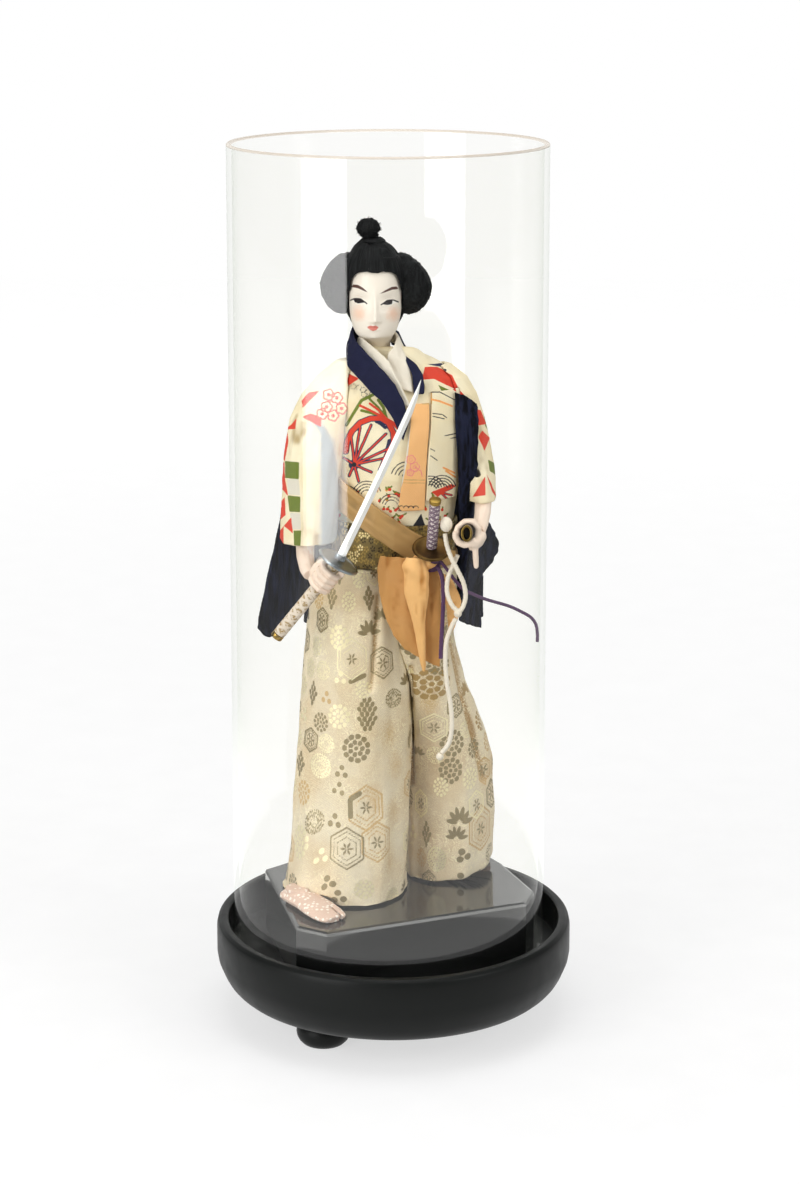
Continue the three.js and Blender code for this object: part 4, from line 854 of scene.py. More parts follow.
class Ink:
    """The print or weave of a cloth, with any painted shade laid like an ink: for each colour the signed
    distance in mm to its nearest edge.
    """

    def __init__(self, places: tuple, *names: str) -> None:
        """Starts with bare cloth at these places in mm."""
        self.at = np.stack(places, axis=1)
        self.far = {name: np.full(len(self.at), 6.0) for name in names}

    def lay(self, ink: str, distance: Array) -> None:
        """Adds a shape to a colour."""
        self.far[ink] = np.minimum(self.far[ink], distance)

    def off(self, centre: Array, lean: float = 0.0) -> Array:
        """Each point's place from a centre, in axes turned by an angle in degrees."""
        cos, sin = math.cos(math.radians(lean)), math.sin(math.radians(lean))
        return (self.at - np.array(centre, float)) @ np.array([[cos, -sin], [sin, cos]])

    def reach(self, a: Array, b: Array) -> Array:
        """Each point's distance from a straight line.

        Args:
            a: where the line starts.
            b: where it ends.

        Returns:
            The distances in mm.
        """
        off, along = self.at - a, b - a
        share = np.clip((off @ along) / max(along @ along, 1e-9), 0, 1)
        return np.linalg.norm(off - share[:, None] * along, axis=1)

    def line(self, ink: str, points: Array, width: float) -> None:
        """A stroke of one width along points."""
        for a, b in zip(points, points[1:]):
            self.lay(ink, self.reach(a, b) - width / 2)

    def area(self, ink: str, points: Array) -> None:
        """A filled outline.

        Args:
            ink: its colour.
            points: its corners.
        """
        best, inside = np.full(len(self.at), 1e9), np.zeros(len(self.at), bool)
        for a, b in zip(points, np.roll(points, -1, axis=0)):
            best = np.minimum(best, self.reach(a, b))
            with np.errstate(divide="ignore", invalid="ignore"):
                edge = a[0] + (self.at[:, 1] - a[1]) / (b[1] - a[1]) * (b[0] - a[0])
            inside ^= ((a[1] > self.at[:, 1]) != (b[1] > self.at[:, 1])) & (self.at[:, 0] < edge)
        self.lay(ink, np.where(inside, -best, best))

    def disc(self, ink: str, centre: Array, radius: float) -> None:
        """A dot."""
        self.lay(ink, np.linalg.norm(self.off(centre), axis=1) - radius)

    def leaf(self, ink: str, centre: Array, length: float, width: float, lean: float = 0.0) -> None:
        """An oval of these half sizes, its length turned by an angle."""
        x, y = self.off(centre, lean).T
        self.lay(ink, (np.hypot(x / length, y / width) - 1) * width)

    def blossom(self, ink: str, centre: Array, radius: float, outline: float = 0.0) -> None:
        """A flower of five petals, filled, or drawn as an outline of this width.

        Args:
            ink: its colour.
            centre: its middle.
            radius: its size.
            outline: the width of its outline, or 0 where it is filled.
        """
        off = self.off(centre)
        wavy = np.abs(np.cos(5 * np.arctan2(*off.T[::-1]) / 2))
        far = np.linalg.norm(off, axis=1) - radius * (0.78 + 0.22 * wavy)
        self.lay(ink, np.abs(far) - outline / 2 if outline else far)

    def petals(self, ink: str, centre: Array, inner: float, outer: float, count: int, gap: float = 0.6,
               turn: float = 0.0) -> None:
        """A ring of round-ended petals with bare cloth between them.

        Args:
            ink: its colour.
            centre: its middle.
            inner: where the petals start.
            outer: where they end.
            count: how many.
            gap: the width of the bare cloth.
            turn: how far the ring is turned, in radians.
        """
        off = self.off(centre)
        far, half = np.linalg.norm(off, axis=1), math.pi / count
        angle = (np.arctan2(*off.T[::-1]) + turn + half) % (2 * half) - half
        reach = outer - (outer - inner) * 0.4 * (angle / half) ** 2
        self.lay(ink, np.maximum.reduce([far - reach, inner - far, gap / 2 - far * (half - np.abs(angle))]))

    def flower(self, ink: str, centre: Array, size: float) -> None:
        """A heart with two rings of petals.

        Args:
            ink: its colour.
            centre: its middle.
            size: its radius.
        """
        self.disc(ink, centre, size * 0.14)
        self.petals(ink, centre, size * 0.26, size * 0.58, 7, 0.7)
        self.petals(ink, centre, size * 0.66, size, 11, 0.8, 0.3)

    def chrysanthemum(self, ink: str, centre: Array, size: float) -> None:
        """Four rings of petals."""
        for ring, count in ((0.25, 8), (0.5, 14), (0.75, 20), (1.0, 26)):
            self.petals(ink, centre, size * (ring - 0.2), size * ring, count, 0.45, ring)

    def bunch(self, ink: str, centre: Array, size: float, cell: float = 3.1) -> None:
        """A closed blossom: oval cells packed in an oval.

        Args:
            ink: its colour.
            centre: its middle.
            size: half its height.
            cell: the width of a cell.
        """
        wide = size * 0.62
        for j in range(-int(size / cell) - 1, int(size / cell) + 2):
            for i in range(-int(wide / cell) - 1, int(wide / cell) + 2):
                x, y = (i + 0.5 * (j % 2)) * cell, j * cell * 0.86
                if math.hypot(x / wide, y / size) < 1:
                    at = (centre[0] + x, centre[1] + y)
                    self.leaf(ink, at, cell * 0.5, cell * 0.36, 90 - 50 * x / wide)

    def shell(self, ink: str, centre: Array, size: float) -> None:
        """Nested upright hexagons round a sprig of taupe leaves.

        Args:
            ink: their colour.
            centre: their middle.
            size: half the width of the outer one.
        """
        for share, width in ((1.0, 0.8), (0.8, 0.5), (0.56, 0.5)):
            x, y = np.abs(self.off(centre)).T
            self.lay(ink, np.abs(np.maximum(x, x * 0.5 + y * 0.82) - size * share) - width / 2)
        self.fan("taupe", centre, 3.4, range(0, 360, 60))

    def fan(self, ink: str, centre: Array, reach: float, leans: range) -> None:
        """Narrow leaves that spread from one place.

        Args:
            ink: their colour.
            centre: the place.
            reach: how far they reach.
            leans: their angles in degrees.
        """
        for lean in leans:
            way = np.array((math.cos(math.radians(lean)), math.sin(math.radians(lean))))
            self.leaf(ink, centre + 0.6 * reach * way, 0.42 * reach, 0.15 * reach, lean)

    def leaves(self, ink: str, centre: Array, size: float) -> None:
        """A fan of leaves that points up."""
        self.fan(ink, centre - (0, 0.4 * size), size, range(10, 171, 32))

    def discs(self, ink: str, centre: Array, size: float) -> None:
        """Three dots side by side."""
        for turn in (size, 2.1 + size, 4.2 + size):
            self.disc(ink, centre + (2.6 * math.cos(turn), 2.6 * math.sin(turn)), size)

    def patch(self, ink: str, centre: Array, size: float) -> None:
        """A soft spot of colour."""
        self.lay(ink, np.linalg.norm(self.off(centre) / (1, 1.5), axis=1) * 0.02 - 0.02 * size / 7)

    def blush(self, ink: str, centre: Array) -> None:
        """A breath of colour."""
        self.lay(ink, np.linalg.norm(self.off(centre), axis=1) * 0.045 - 0.13)

    def waves(self, ink: str, centre: Array, radii: tuple, width: float, start: float = 15,
              end: float = 165) -> None:
        """Concentric arcs.

        Args:
            ink: their colour.
            centre: their middle.
            radii: their radii.
            width: the width of a line.
            start: the angle in degrees at which they start.
            end: the angle at which they end.
        """
        turns = np.radians(np.linspace(start, end, 9))
        for radius in radii:
            self.line(ink, centre + radius * np.stack([np.cos(turns), np.sin(turns)], 1), width)

    def draw(self, rows: tuple) -> None:
        """Draws rows of kind, colour, sizes and shapes.

        Args:
            rows: each shape is a flat row of x and y: the corners of an area or a line, or the centres of
                whatever else the kind names.
        """
        for kind, ink, sizes, *shapes in rows:
            sizes = sizes if isinstance(sizes, tuple) else (sizes,)
            for shape in shapes:
                points = np.reshape(shape, (-1, 2)).astype(float)
                for at in [points] if kind in ("area", "line") else points:
                    getattr(self, kind)(ink, at, *sizes)

    def scatter(self, seed: int, other: str, reach: float, *boxes: tuple) -> None:
        """Scatters small blossoms with their leaves.

        Args:
            seed: picks the places.
            other: the colour of a third of them; the rest are red.
            reach: how far a leaf leans, in mm.
            boxes: left, right, low and high edge, and how many lie between them.
        """
        chance = np.random.default_rng(seed)
        for x0, x1, y0, y1, count in boxes:
            for _ in range(count):
                at = np.array((chance.uniform(x0, x1), chance.uniform(y0, y1)))
                self.line("olive", [at, at + (reach * chance.uniform(-1, 1), 1.4)], 0.9)
                self.blossom("red" if chance.random() < 0.65 else other, at, 0.95)

    def keep(self, clay: Clay) -> None:
        """Stores every colour on the mesh."""
        for name, far in self.far.items():
            store(clay.mesh, "ink_" + name, far)


# The prints as read on the doll's front, in mm
RIM = (-25.6, 326, -24.5, 332.2, -22.1, 337, -17.6, 341.8, -12.1, 344, -6.6, 344.2, -2.5, 341.5, 0.1, 336.3,
       0.3, 330.8, -2.2, 326, -4.6, 320.5, -6.6, 315.7)
SPOKES = tuple((-21.1, 318.8, *end) for end in (
    (-22.6, 335), (-17.6, 339.4), (-11.8, 340.5), (-3.9, 335.6), (-2.8, 327.4), (-5.2, 322.2), (-11.8, 314.6),
    (-18.7, 309.5), (-23.8, 312.6), (-26.4, 322.5)))
PRINTS = {
    # A cart wheel, a fan, waves and blossoms
    "kimono_body": (
        ("area", "red", (), (-24.4, 368.8, -18.2, 365.9, -23.8, 362.3, -26.6, 359.6), (15.5, 365.3,
         16.9, 372, 23.9, 372.5, 31.5, 368.5, 35.6, 359, 28.5, 362.2, 22, 365.5)),
        ("blossom", "line", (1.5, 0.35), (-21.5, 361.5, -18.5, 361, -16, 359.6, -13.4, 358.6, -15.5, 357)),
        ("line", "olive", 1.7, (-25.2, 340.5, -21.1, 347, -16.9, 353.9, -10.8, 357)),
        ("line", "red", 1.3, (-17.6, 351.1, -11.4, 348, -3.4, 343.6), (-12.5, 352.2, -8, 348.7,
         -3.4, 343.6)),
        ("line", "olive", 1.6, (-8, 354.2, -5.2, 350.1, -3.4, 343.6)),
        ("line", "olive", 1.5, (-16.9, 348.4, -11.4, 347, -3.4, 343.6)),
        ("line", "olive", 1.2, (-12.8, 354.9, -8, 350.1, -3.4, 343.6)),
        ("line", "red", 1.8, (-3.4, 343.6, -0.4, 341.8, 2.7, 338.7)),
        ("line", "navy", 3.5, RIM),
        ("line", "red", 2.5, RIM),
        ("line", "navy", 1.8, (-22.8, 335.3, -20.4, 338.3, -17.6, 338.9), (-9, 342.4, -6.6, 341.1,
         -4.2, 339.1), (-2.2, 331.8, -3.2, 327.4)),
        ("line", "navy", 1.7, *SPOKES),
        ("line", "red", 0.7, *SPOKES),
        ("disc", "navy", 2.8, (-21.1, 318.8)),
        ("disc", "line", 1.3, (-21.1, 318.8)),
        ("waves", "line", ((3, 5, 7, 9), 0.55), (7.8, 311.5)),
        ("waves", "line", ((3, 4.6, 6.2, 7.8), 0.55), (-14.2, 301.9)),
        ("waves", "line", ((4, 6, 8), 0.55), (8.5, 277.1)),
        ("waves", "line", ((3, 4.5, 6, 7.5), 0.55), (26.4, 305.4)),
        ("waves", "line", ((3.4, 5, 6.6), 0.55), (-1, 296)),
        ("waves", "line", ((3, 5, 7), 0.55), (-25, 300)),
        ("area", "line", (), (9.2, 282.6, 15.1, 291.9, 16.6, 287, 18.5, 282.6, 14, 284), (-13, 297, -8, 292,
         -3, 288.6, -9, 290)),
        ("disc", "orange", 1.5, (-1.2, 284.2)),
        ("area", "olive", (), (24, 362.4, 30, 359.6, 33.6, 356, 28, 355)),
        ("area", "navy", (), (18, 373.6, 26, 374.4, 30.6, 371.6, 24, 372.8)),
    ),
    # Birds over waves and a wheel's edge
    "kimono_left_front": (
        ("line", "line", 0.55, (21.3, 346.8, 26.4, 346.3, 28.8, 344.4), (21.3, 345.3, 27.4, 343.9),
         (27.8, 334.6, 34, 336), (30.9, 333.2, 34.3, 333.9), (20.2, 327.5, 22.3, 326.3), (20.2, 323.6,
         23.7, 321.2), (18.8, 358.3, 25, 358.5, 33, 354.2)),
        ("line", "orange", 1, (18.8, 354.9, 25, 353.5, 31.6, 350.8), (27.1, 317.1, 33, 314.3), (28.5, 315.3,
         33.4, 312)),
        ("waves", "line", ((3, 4.5, 6, 7.5), 0.55), (26.4, 305.4)),
        ("waves", "line", ((3, 4.5, 6, 7.5), 0.55, 15, 100), (20.2, 305)),
        ("area", "red", (), (20.6, 303.8, 31.6, 308.2, 34, 307, 27.1, 303.3, 24, 301), (15.5, 365.3,
         16.9, 369.5, 23.9, 369.5, 31.5, 365.7, 34, 358.4, 27.4, 363.2)),
        ("line", "navy", 1.3, (25.7, 303.4, 31.6, 306), (25.7, 303.4, 31.5, 302), (25.7, 303.4,
         30.4, 298.5)),
        ("line", "red", 0.6, (25.7, 303.4, 31.6, 306), (25.7, 303.4, 31.5, 302), (25.7, 303.4,
         30.4, 298.5)),
        ("area", "tan", (), (14.6, 360, 20.9, 360, 20.9, 351.8, 14.6, 351.8)),
    ),
    # An outlined flower, fine lines and curls
    "peach_lapel": (
        ("blossom", "pink", (2.4, 0.6), (9.6, 321.6)),
        ("blossom", "pink", (0.96, 0.4), (9.6, 321.6)),
        ("blossom", "pink", (2.6, 0.6), (11.6, 317.6)),
        ("blossom", "pink", (1.04, 0.4), (11.6, 317.6)),
        ("blossom", "pink", (1.9, 0.6), (9.3, 314.4)),
        ("blossom", "pink", (0.76, 0.4), (9.3, 314.4)),
        ("line", "pink", 0.6, (11.6, 317.6, 15, 315.2, 15.6, 312.4)),
        ("line", "tan", 0.45, (5.4, 310.5, 18.5, 310.2), (5.2, 308.8, 18.5, 308.6)),
        ("line", "line", 0.6, (0.9, 297.1, 4.4, 293, 7.1, 291.6)),
        ("waves", "line", ((1.5,), 0.5), (4.4, 294.6, 7, 294.6, 9.6, 294.6, 12.2, 294.6)),
        ("line", "line", 0.5, (0.9, 294, 14, 290)),
        ("line", "pale", 1, (9.4, 352.4, 8.5, 336.3, 7.4, 322.6, 4.7, 308.8, -0.5, 294.3)),
        ("area", "tan", (), (15.4, 360, 21.5, 360, 21.5, 351.8, 15.4, 351.8)),
    ),
    # Scales and checks down the outer edge, blossoms on the shoulder, and painted shade over the front half
    "sleeve_right": (
        ("area", "red", (), (-56.3, 336.7, -60, 323.6, -58, 320.8, -56.3, 331.8), (-58.3, 320.8,
         -61.8, 314.6, -59.7, 305, -56.3, 301.5, -58.3, 311.2), (-58.4, 301, -62.5, 296, -61.5, 288,
         -58, 291), (-54.9, 289.8, -61.9, 281.5, -61.8, 271.9, -59.1, 271.2, -58.9, 285, -54.2, 280.8),
         (-52, 344.5, -57, 338, -52.6, 338.4), (-49, 353.9, -45.2, 358.4, -39.4, 359.1, -44.5, 353.9,
         -48.3, 349.8), (-48.7, 344.9, -44.5, 347, -38.3, 344.6, -38.7, 339.4)),
        ("area", "olive", (), (-58, 320.8, -50.4, 320.1, -50.7, 310.8, -58.3, 311.5), (-56.6, 301.9,
         -49.9, 301.2, -50.1, 292.6, -55.9, 292.9), (-53.8, 282.4, -49.8, 282.4, -50.1, 274, -53.5, 274.3)),
        ("area", "pale", (), (-57, 311, -50.7, 310.8, -50, 302, -56.4, 302.4), (-55.6, 292.4, -50.1, 292,
         -49.9, 283, -54.6, 283)),
        # painted shade: the front half of the sleeve is darkened as if in soft shade
        ("area", "shade", (), (-48, 347, -40.9, 335.1, -40.9, 271.9, -25, 271.9, -26, 300, -30, 332,
         -37, 343)),
        ("blossom", "red", (3.1, 0.8), (-35.6, 350.4, -30.1, 355.3, -32.1, 345.6, -38, 346.5, -27.5, 349.5,
         -34.5, 357)),
        ("disc", "red", 1, (-35.6, 350.4, -30.1, 355.3, -32.1, 345.6, -38, 346.5, -27.5, 349.5,
         -34.5, 357)),
    ),
    # Scales and checks on the outer edge
    "sleeve_left": (
        ("area", "red", (), (42.7, 349.3, 46.8, 348.6, 49.6, 341, 46.1, 340.3), (45.8, 334, 48.2, 337.5,
         51.7, 333.3, 49.3, 326.4), (42.7, 301, 49.6, 312.4, 49.8, 302), (50.3, 313.8, 53.1, 308.3,
         56.2, 299.2, 53.4, 304.1), (15.5, 365.3, 16.9, 371.5, 23.9, 371.5, 31.5, 367.7, 36, 358.4,
         27.4, 361.2), (33, 362, 38, 357, 37, 351, 33, 356)),
        ("area", "olive", (), (51, 321.5, 54.5, 319.4, 54.8, 313.1, 52.1, 315.2), (48.4, 346, 52, 341,
         51.4, 336, 49.2, 340)),
        ("line", "navy", 1.2, (18, 370.6, 28, 370.4)),
    ),
}
SCATTERED = {
    "kimono_body": (5, "orange", 2.2, (-9, 6, 283, 306, 30), (17, 30, 284, 303, 14),
                    (-30, -12, 286, 304, 18)),
    "kimono_left_front": (8, "tan", 2.0, (17, 31, 284, 302, 20)),
}
FACE = (
    ("area", "brow", (),
     (-22.4, 415.2, -21, 416.6, -18.6, 416.3, -15.6, 414.5, -13.3, 412.3, -15.8, 413.2, -18.8, 414.6),
     (3, 414.2, 1.8, 415.5, -0.6, 415.3, -4.2, 413.4, -7.5, 411.3, -4.6, 412.2, -0.6, 413.7)),
    ("line", "crease", 0.12, (-21.6, 410, -18.6, 410.6, -15.6, 409.6), (-6.6, 408, -3, 409.4, 1.4, 408.9)),
    ("area", "white", (), (-22, 408.2, -18.6, 408.8, -14.6, 406.8, -18.2, 406.2),
     (2.4, 407, -1.4, 408.2, -5.8, 406, -1.6, 405.4)),
    ("disc", "eye", 1.25, (-18.4, 407.6, -2.5, 406.9)),
    ("line", "eye", 0.7, (-22.6, 408.1, -20.4, 408.9, -17.4, 408.7, -13.9, 406.3),
     (2.8, 407.2, 0.2, 408.2, -3, 407.9, -6.3, 405.7)),
    ("area", "eye", (), (-21, 408.6, -17.6, 408.6, -14.8, 406.9, -17.6, 406.5, -20.4, 407),
     (-0.2, 408, -3, 407.8, -5.6, 406, -3.4, 405.6, -0.6, 406)),
    ("area", "lips", (),
     (-14, 393.6, -12, 394.6, -10.7, 394.2, -9.4, 394.6, -7.6, 393.5, -8.9, 392.2, -10.7, 391.5,
      -12.4, 392.3)),
    ("blush", "blush", (), (-18.2, 401, 0.2, 400.6)),
)


def printed(clay: Clay, node: str) -> None:
    """Lays a cloth's print, with painted shade on the right sleeve.

    Args:
        clay: the cloth.
        node: its CAD node.
    """
    ink = Ink(clay.front_view(), *dict(INKS))
    ink.draw(PRINTS[node])
    if node in SCATTERED:
        ink.scatter(*SCATTERED[node])
    if node == "sleeve_right":  # painted shade: the front half of the sleeve is darkened as if it lay in soft shade, with a soft edge
        ink.far["shade"] = ink.far["shade"] * 0.07 + 0.12
    ink.keep(clay)


# Sub-assemblies


@dataclass
class TurnedBase:
    """The turned base with its recess, and three bun feet. Sizes in mm."""

    foot_height: float = 17.0
    base_height: float = 39.0
    recess: float = 18.0
    inner: float = 92.7
    rim: float = 6.6
    inset: float = 15.3
    ring: float = 62.0
    first_angle: float = 232.0
    bun_radius: float = 15.0
    tenon: tuple = (4.5, 9.0)  # radius and height
    side: tuple = ((0.62, 0.05), (0.47, 0.1), (0.34, 0.16), (0.23, 0.235), (0.15, 0.31), (0.045, 0.41),
                   (0, 0.52), (0, 0.88))  # shares of the inset and of the height
    bun: tuple = ((0, 0), (0.62, 0), (0.78, 0.05), (0.9, 0.16), (0.975, 0.29), (1, 0.42), (0.985, 0.56),
                  (0.93, 0.68), (0.82, 0.78), (0.66, 0.86), (0.6, 1))  # shares of its radius and height

    def make(self) -> None:
        """Turns the base and the feet."""
        outer, inner, low = self.inner + self.rim, self.inner, self.foot_height
        top = low + self.base_height
        profile = [(0, low), (outer - self.inset, low)]
        profile += [(outer - self.inset * share, low + self.base_height * rise) for share, rise in self.side]
        profile += [(outer - 0.7, top - 1.6), (outer - 2.4, top), (inner + 1, top), (inner, top - 1),
                    (inner, top - self.recess), (0, top - self.recess)]
        dress(turned("turned_base_shell", profile, 160, bevel=0.5), "black_wood", Body.BASE)
        height, (radius, rise) = low - 0.3, self.tenon
        profile = [(self.bun_radius * r, height * h) for r, h in self.bun]
        profile += [(radius, height), (radius, height + rise), (0, height + rise)]
        for i in range(3):
            angle = math.radians(self.first_angle + 120 * i)
            spot = (self.ring * math.cos(angle), self.ring * math.sin(angle), 0)
            dress(turned(f"bun_foot_{i + 1}_turned", profile, 48, spot), "black_wood", Body.BASE)


@dataclass
class GlassTube:
    """The clear cylinder, open at the top. Sizes in mm."""

    radius: float = 86.8
    wall: float = 3.0
    length: float = 451.7
    foot: float = 38.3
    chamfer: float = 1.4

    def make(self) -> None:
        """Spins the wall."""
        bore, top = self.radius - self.wall, self.foot + self.length
        profile = [(bore, self.foot), (self.radius, self.foot), (self.radius, top - 0.7),
                   (self.radius - 0.7, top), (bore + self.chamfer, top), (bore, top - self.chamfer)]
        dress(turned("glass_tube", profile, 160, (*GLASS_AXIS, 0)), "clear_glass", Body.CYLINDER,
              ("glass_cylinder",))


@dataclass
class Kimono:
    """The kimono: body, left front, lapel, sleeves and collars."""

    neck_rise: float = 3.5  # mm that the neck's edge stands above the CAD's
    collar_in: float = 3.2  # mm that the navy collar's right side lies further in

    def make(self) -> None:
        """Moulds every piece of it."""
        self.body()
        for node, slot, width in (("kimono_left_front", "printed_crepe", 0.02),
                                  ("peach_lapel", "peach_crepe", 0.0115)):
            clay = Clay(node + "_cloth", 0.45)
            printed(clay, node)
            clay.push(0.15 * clay.noise(5, 9))
            clay.sheet(slot, (width, 0.062), "laid")
        for node, flat in (("sleeve_right", (0.09, 0.082)), ("sleeve_left", (0.07, 0.05))):
            clay = Clay(node + "_cloth", 0.6, 9, node == "sleeve_left")
            printed(clay, node)
            folds = clay.noise(6, 21, 1, 1, 0.25) * 0.6 + clay.noise(4, 22) * 0.25
            clay.drape(np.minimum(folds * step(clay.points[:, 2], 362, 345), 0.3), -0.6, -0.15)
            clay.sheet("printed_crepe", flat, "hung")
        for node, slot, voxel, flat in (("under_collar", "white_cloth", 0.42, (0.0115, 0.105)),
                                        ("collar_navy", "navy_cloth", 0.45, (0.0122, 0.14))):
            clay = Clay(node + "_cloth", voxel, crumbs=True)
            x, _, z = clay.xyz()
            if node == "collar_navy":
                clay.shift(-self.collar_in * step(z, 366, 380) * step(x, -2, 3))
            clay.push(0.25 * clay.noise(6, 31) + 0.12 * clay.noise(2.5, 32))
            clay.sheet(slot, flat, "folded")

    def body(self) -> None:
        """The body over its stuffing, with a rolled edge round the neck."""
        clay = Clay(BODY_CLOTH, 0.62, nodes=("kimono_body", "torso_core"))
        x, y, z = clay.xyz()
        printed(clay, "kimono_body")
        folds = 0.5 * noise(np.stack([x + z * 0.5, y, z * 0.35], 1), 7, 3) + 0.3 * clay.noise(4, 4)
        rim = step(z, 370, 374) * step(y, -2, -8)
        clay.shift(z=self.neck_rise * step(z, 371, 375.5) * step(y, 0, -6))
        clay.drape(np.minimum(folds, 0.15) - 0.05 + 1.2 * rim, -0.8, -0.3)
        clay.done("printed_crepe")


@dataclass
class Coat:
    """The coat of ribbed navy crepe, worn off the shoulders."""

    drawn_in: tuple = (5.0, 6.0)  # mm at the left lobe's outer edge, above and below its bulge
    tip_rise: float = 3.3  # mm

    def make(self) -> None:
        """Moulds its back and its two lobes."""
        for node, voxel, flat in (("coat_back", 0.75, (0.1, 0.15)), ("coat_lobe_right", 0.55, (0.028, 0.105)),
                                  ("coat_lobe_left", 0.55, (0.02, 0.12))):
            clay = Clay(node + "_cloth", voxel, crumbs=True)
            if node == "coat_lobe_left":
                self.notch(clay)
            ribs = clay.noise(2.4, 41, 1, 1, 0.12) * 0.4 + clay.noise(9, 42, 1, 1, 0.3) * 0.5
            clay.drape(np.clip(ribs, -0.4, 0.5), -0.4)
            clay.sheet("navy_crepe", flat, "hung")

    def notch(self, clay: Clay) -> None:
        """Draws in the left lobe's outer edge above and below its bulge, and lifts its tip.

        Args:
            clay: the lobe.
        """
        u, v = clay.front_view()
        above, below = self.drawn_in
        inward = (above * bell(v, 296, 12) + below * bell(v, 253.5, 9)) * step(u, 36, 50)
        ragged = 0.8 * clay.noise(3.0, 43) * step(u, 40, 50)
        clay.shift(ragged - inward, 0, self.tip_rise * step(v, 242, 228))


@dataclass
class Leg:
    """One stuffed leg of the hakama, of brocade. Sizes in mm."""

    side: str
    centre: tuple  # of the oval that the cloth goes round
    half: tuple  # its half width and half depth
    start: float  # where the cloth starts on the bolt
    depth: float  # of the valleys
    valleys: tuple  # the deep folds that the front shows
    motifs: tuple  # kind, colour, then x, height and size of each that the front shows
    strokes: tuple  # bars of thread beside them
    voxel: float = 0.76

    def make(self) -> None:
        """Moulds the leg with pleats and creases."""
        right = self.side == "right"
        clay = Clay(f"hakama_leg_{self.side}_cloth", self.voxel, 24)
        x, y, z = clay.xyz()
        around = self.around(x, y)
        self.weave(clay, (around + self.start, z))
        fade = step(z, 262, 235)
        pleat = 1.1 * noise(np.stack([around, 0 * z + 3, z * 0.1], 1), 8.5, 51) * fade
        crease = 0.5 * (1 - np.abs(noise(np.stack([around * 0.8 + z * 0.3, y * 0, z * 0.6], 1), 11, 52)) * 2)
        folds = np.clip(pleat + crease * 0.5 * fade + 0.12 * clay.noise(3, 53), -1.2, 1.0)
        drop = 5.5 + 11 * step(x, -33, -58) * step(y, 10, -20) if right else 8 + 0 * x
        hem = np.maximum(z - drop * step(z, 150, 96), np.minimum(z, PLINTH_TOP + 1.5))
        clay.set(np.stack([x, y, hem], 1))
        u, v = clay.front_view()
        ahead = clay.normals()[:, 1]
        lines = Ink((u, v), "fold")
        lines.draw((("line", "fold", 0, *self.valleys),))
        folds -= self.depth * bell(lines.far["fold"], 0, 2.0) * step(-ahead, -0.3, 0.2)
        # painted shade: the left leg's inner side, next to the right leg, is toned as if in its shadow
        shaded = 0.0 if right else 0.4 * bell(u, 20, 9) * step(ahead, 0, -0.3)
        clay.drape(folds * step(z, 76, 82), -2.4, -0.8, shaded)
        clay.done("ivory_brocade")

    def around(self, x: Array, y: Array) -> Array:
        """How far round the leg's oval points lie.

        Args:
            x: how far right they are.
            y: how far back.

        Returns:
            The run from the front middle, in mm.
        """
        angle = np.arctan2(x - self.centre[0], -(y - self.centre[1]))
        table = np.linspace(-np.pi, np.pi, 721)
        run = np.hypot(self.half[0] * np.cos(table), self.half[1] * np.sin(table))
        run = np.cumsum(run) * (table[1] - table[0])
        run -= np.interp(0, table, run)
        return np.interp(angle, table, run)

    def weave(self, clay: Clay, flat: tuple) -> None:
        """Lays the woven motifs: those of the front where they are seen, and others all round.

        Args:
            clay: the leg.
            flat: each point's place on the cloth in mm, round the leg and up.
        """
        ink = Ink(flat, *dict(WEAVE_INKS))
        u, v = clay.front_view()
        behind = np.where(clay.normals()[:, 1] < -0.1, 0, 1e3)
        taken = []

        def spot(x: float, z: float) -> Array:
            """The place on the cloth of a point on the front."""
            return ink.at[np.argmin(np.hypot(u - x, v - z) + behind)]

        for kind, colour, row in self.motifs:
            for x, z, size in np.reshape(row, (-1, 3)):
                taken.append(spot(x, z))
                getattr(ink, kind)(colour, taken[-1], size)
        for x0, z0, x1, z1 in self.strokes:
            ink.line("taupe", [spot(x0, z0), spot(x1, z1)], 2.6)
        chance = np.random.default_rng(12)
        kinds = ("flower", "shell", "bunch", "chrysanthemum", "leaves", "discs", "shell", "flower")
        colours = ("taupe", "bright", "warm", "bright")
        sizes, gap = {"discs": 1.5, "leaves": 5.2, "bunch": 6.4}, 13.5
        for row in range(14):
            for column in range(-9, 10):
                place = np.array([(column + 0.5 * (row % 2)) * gap, 82 + row * gap])
                place = place + chance.uniform(-2, 2, 2)
                place[0] += ink.at[:, 0].mean()
                kind, colour = kinds[chance.integers(8)], colours[chance.integers(4)]
                if min(np.linalg.norm(place - other) for other in taken) > 11:
                    taken.append(place)
                    getattr(ink, kind)("taupe" if kind == "bunch" else colour, place, sizes.get(kind, 5.6))
        ink.keep(clay)


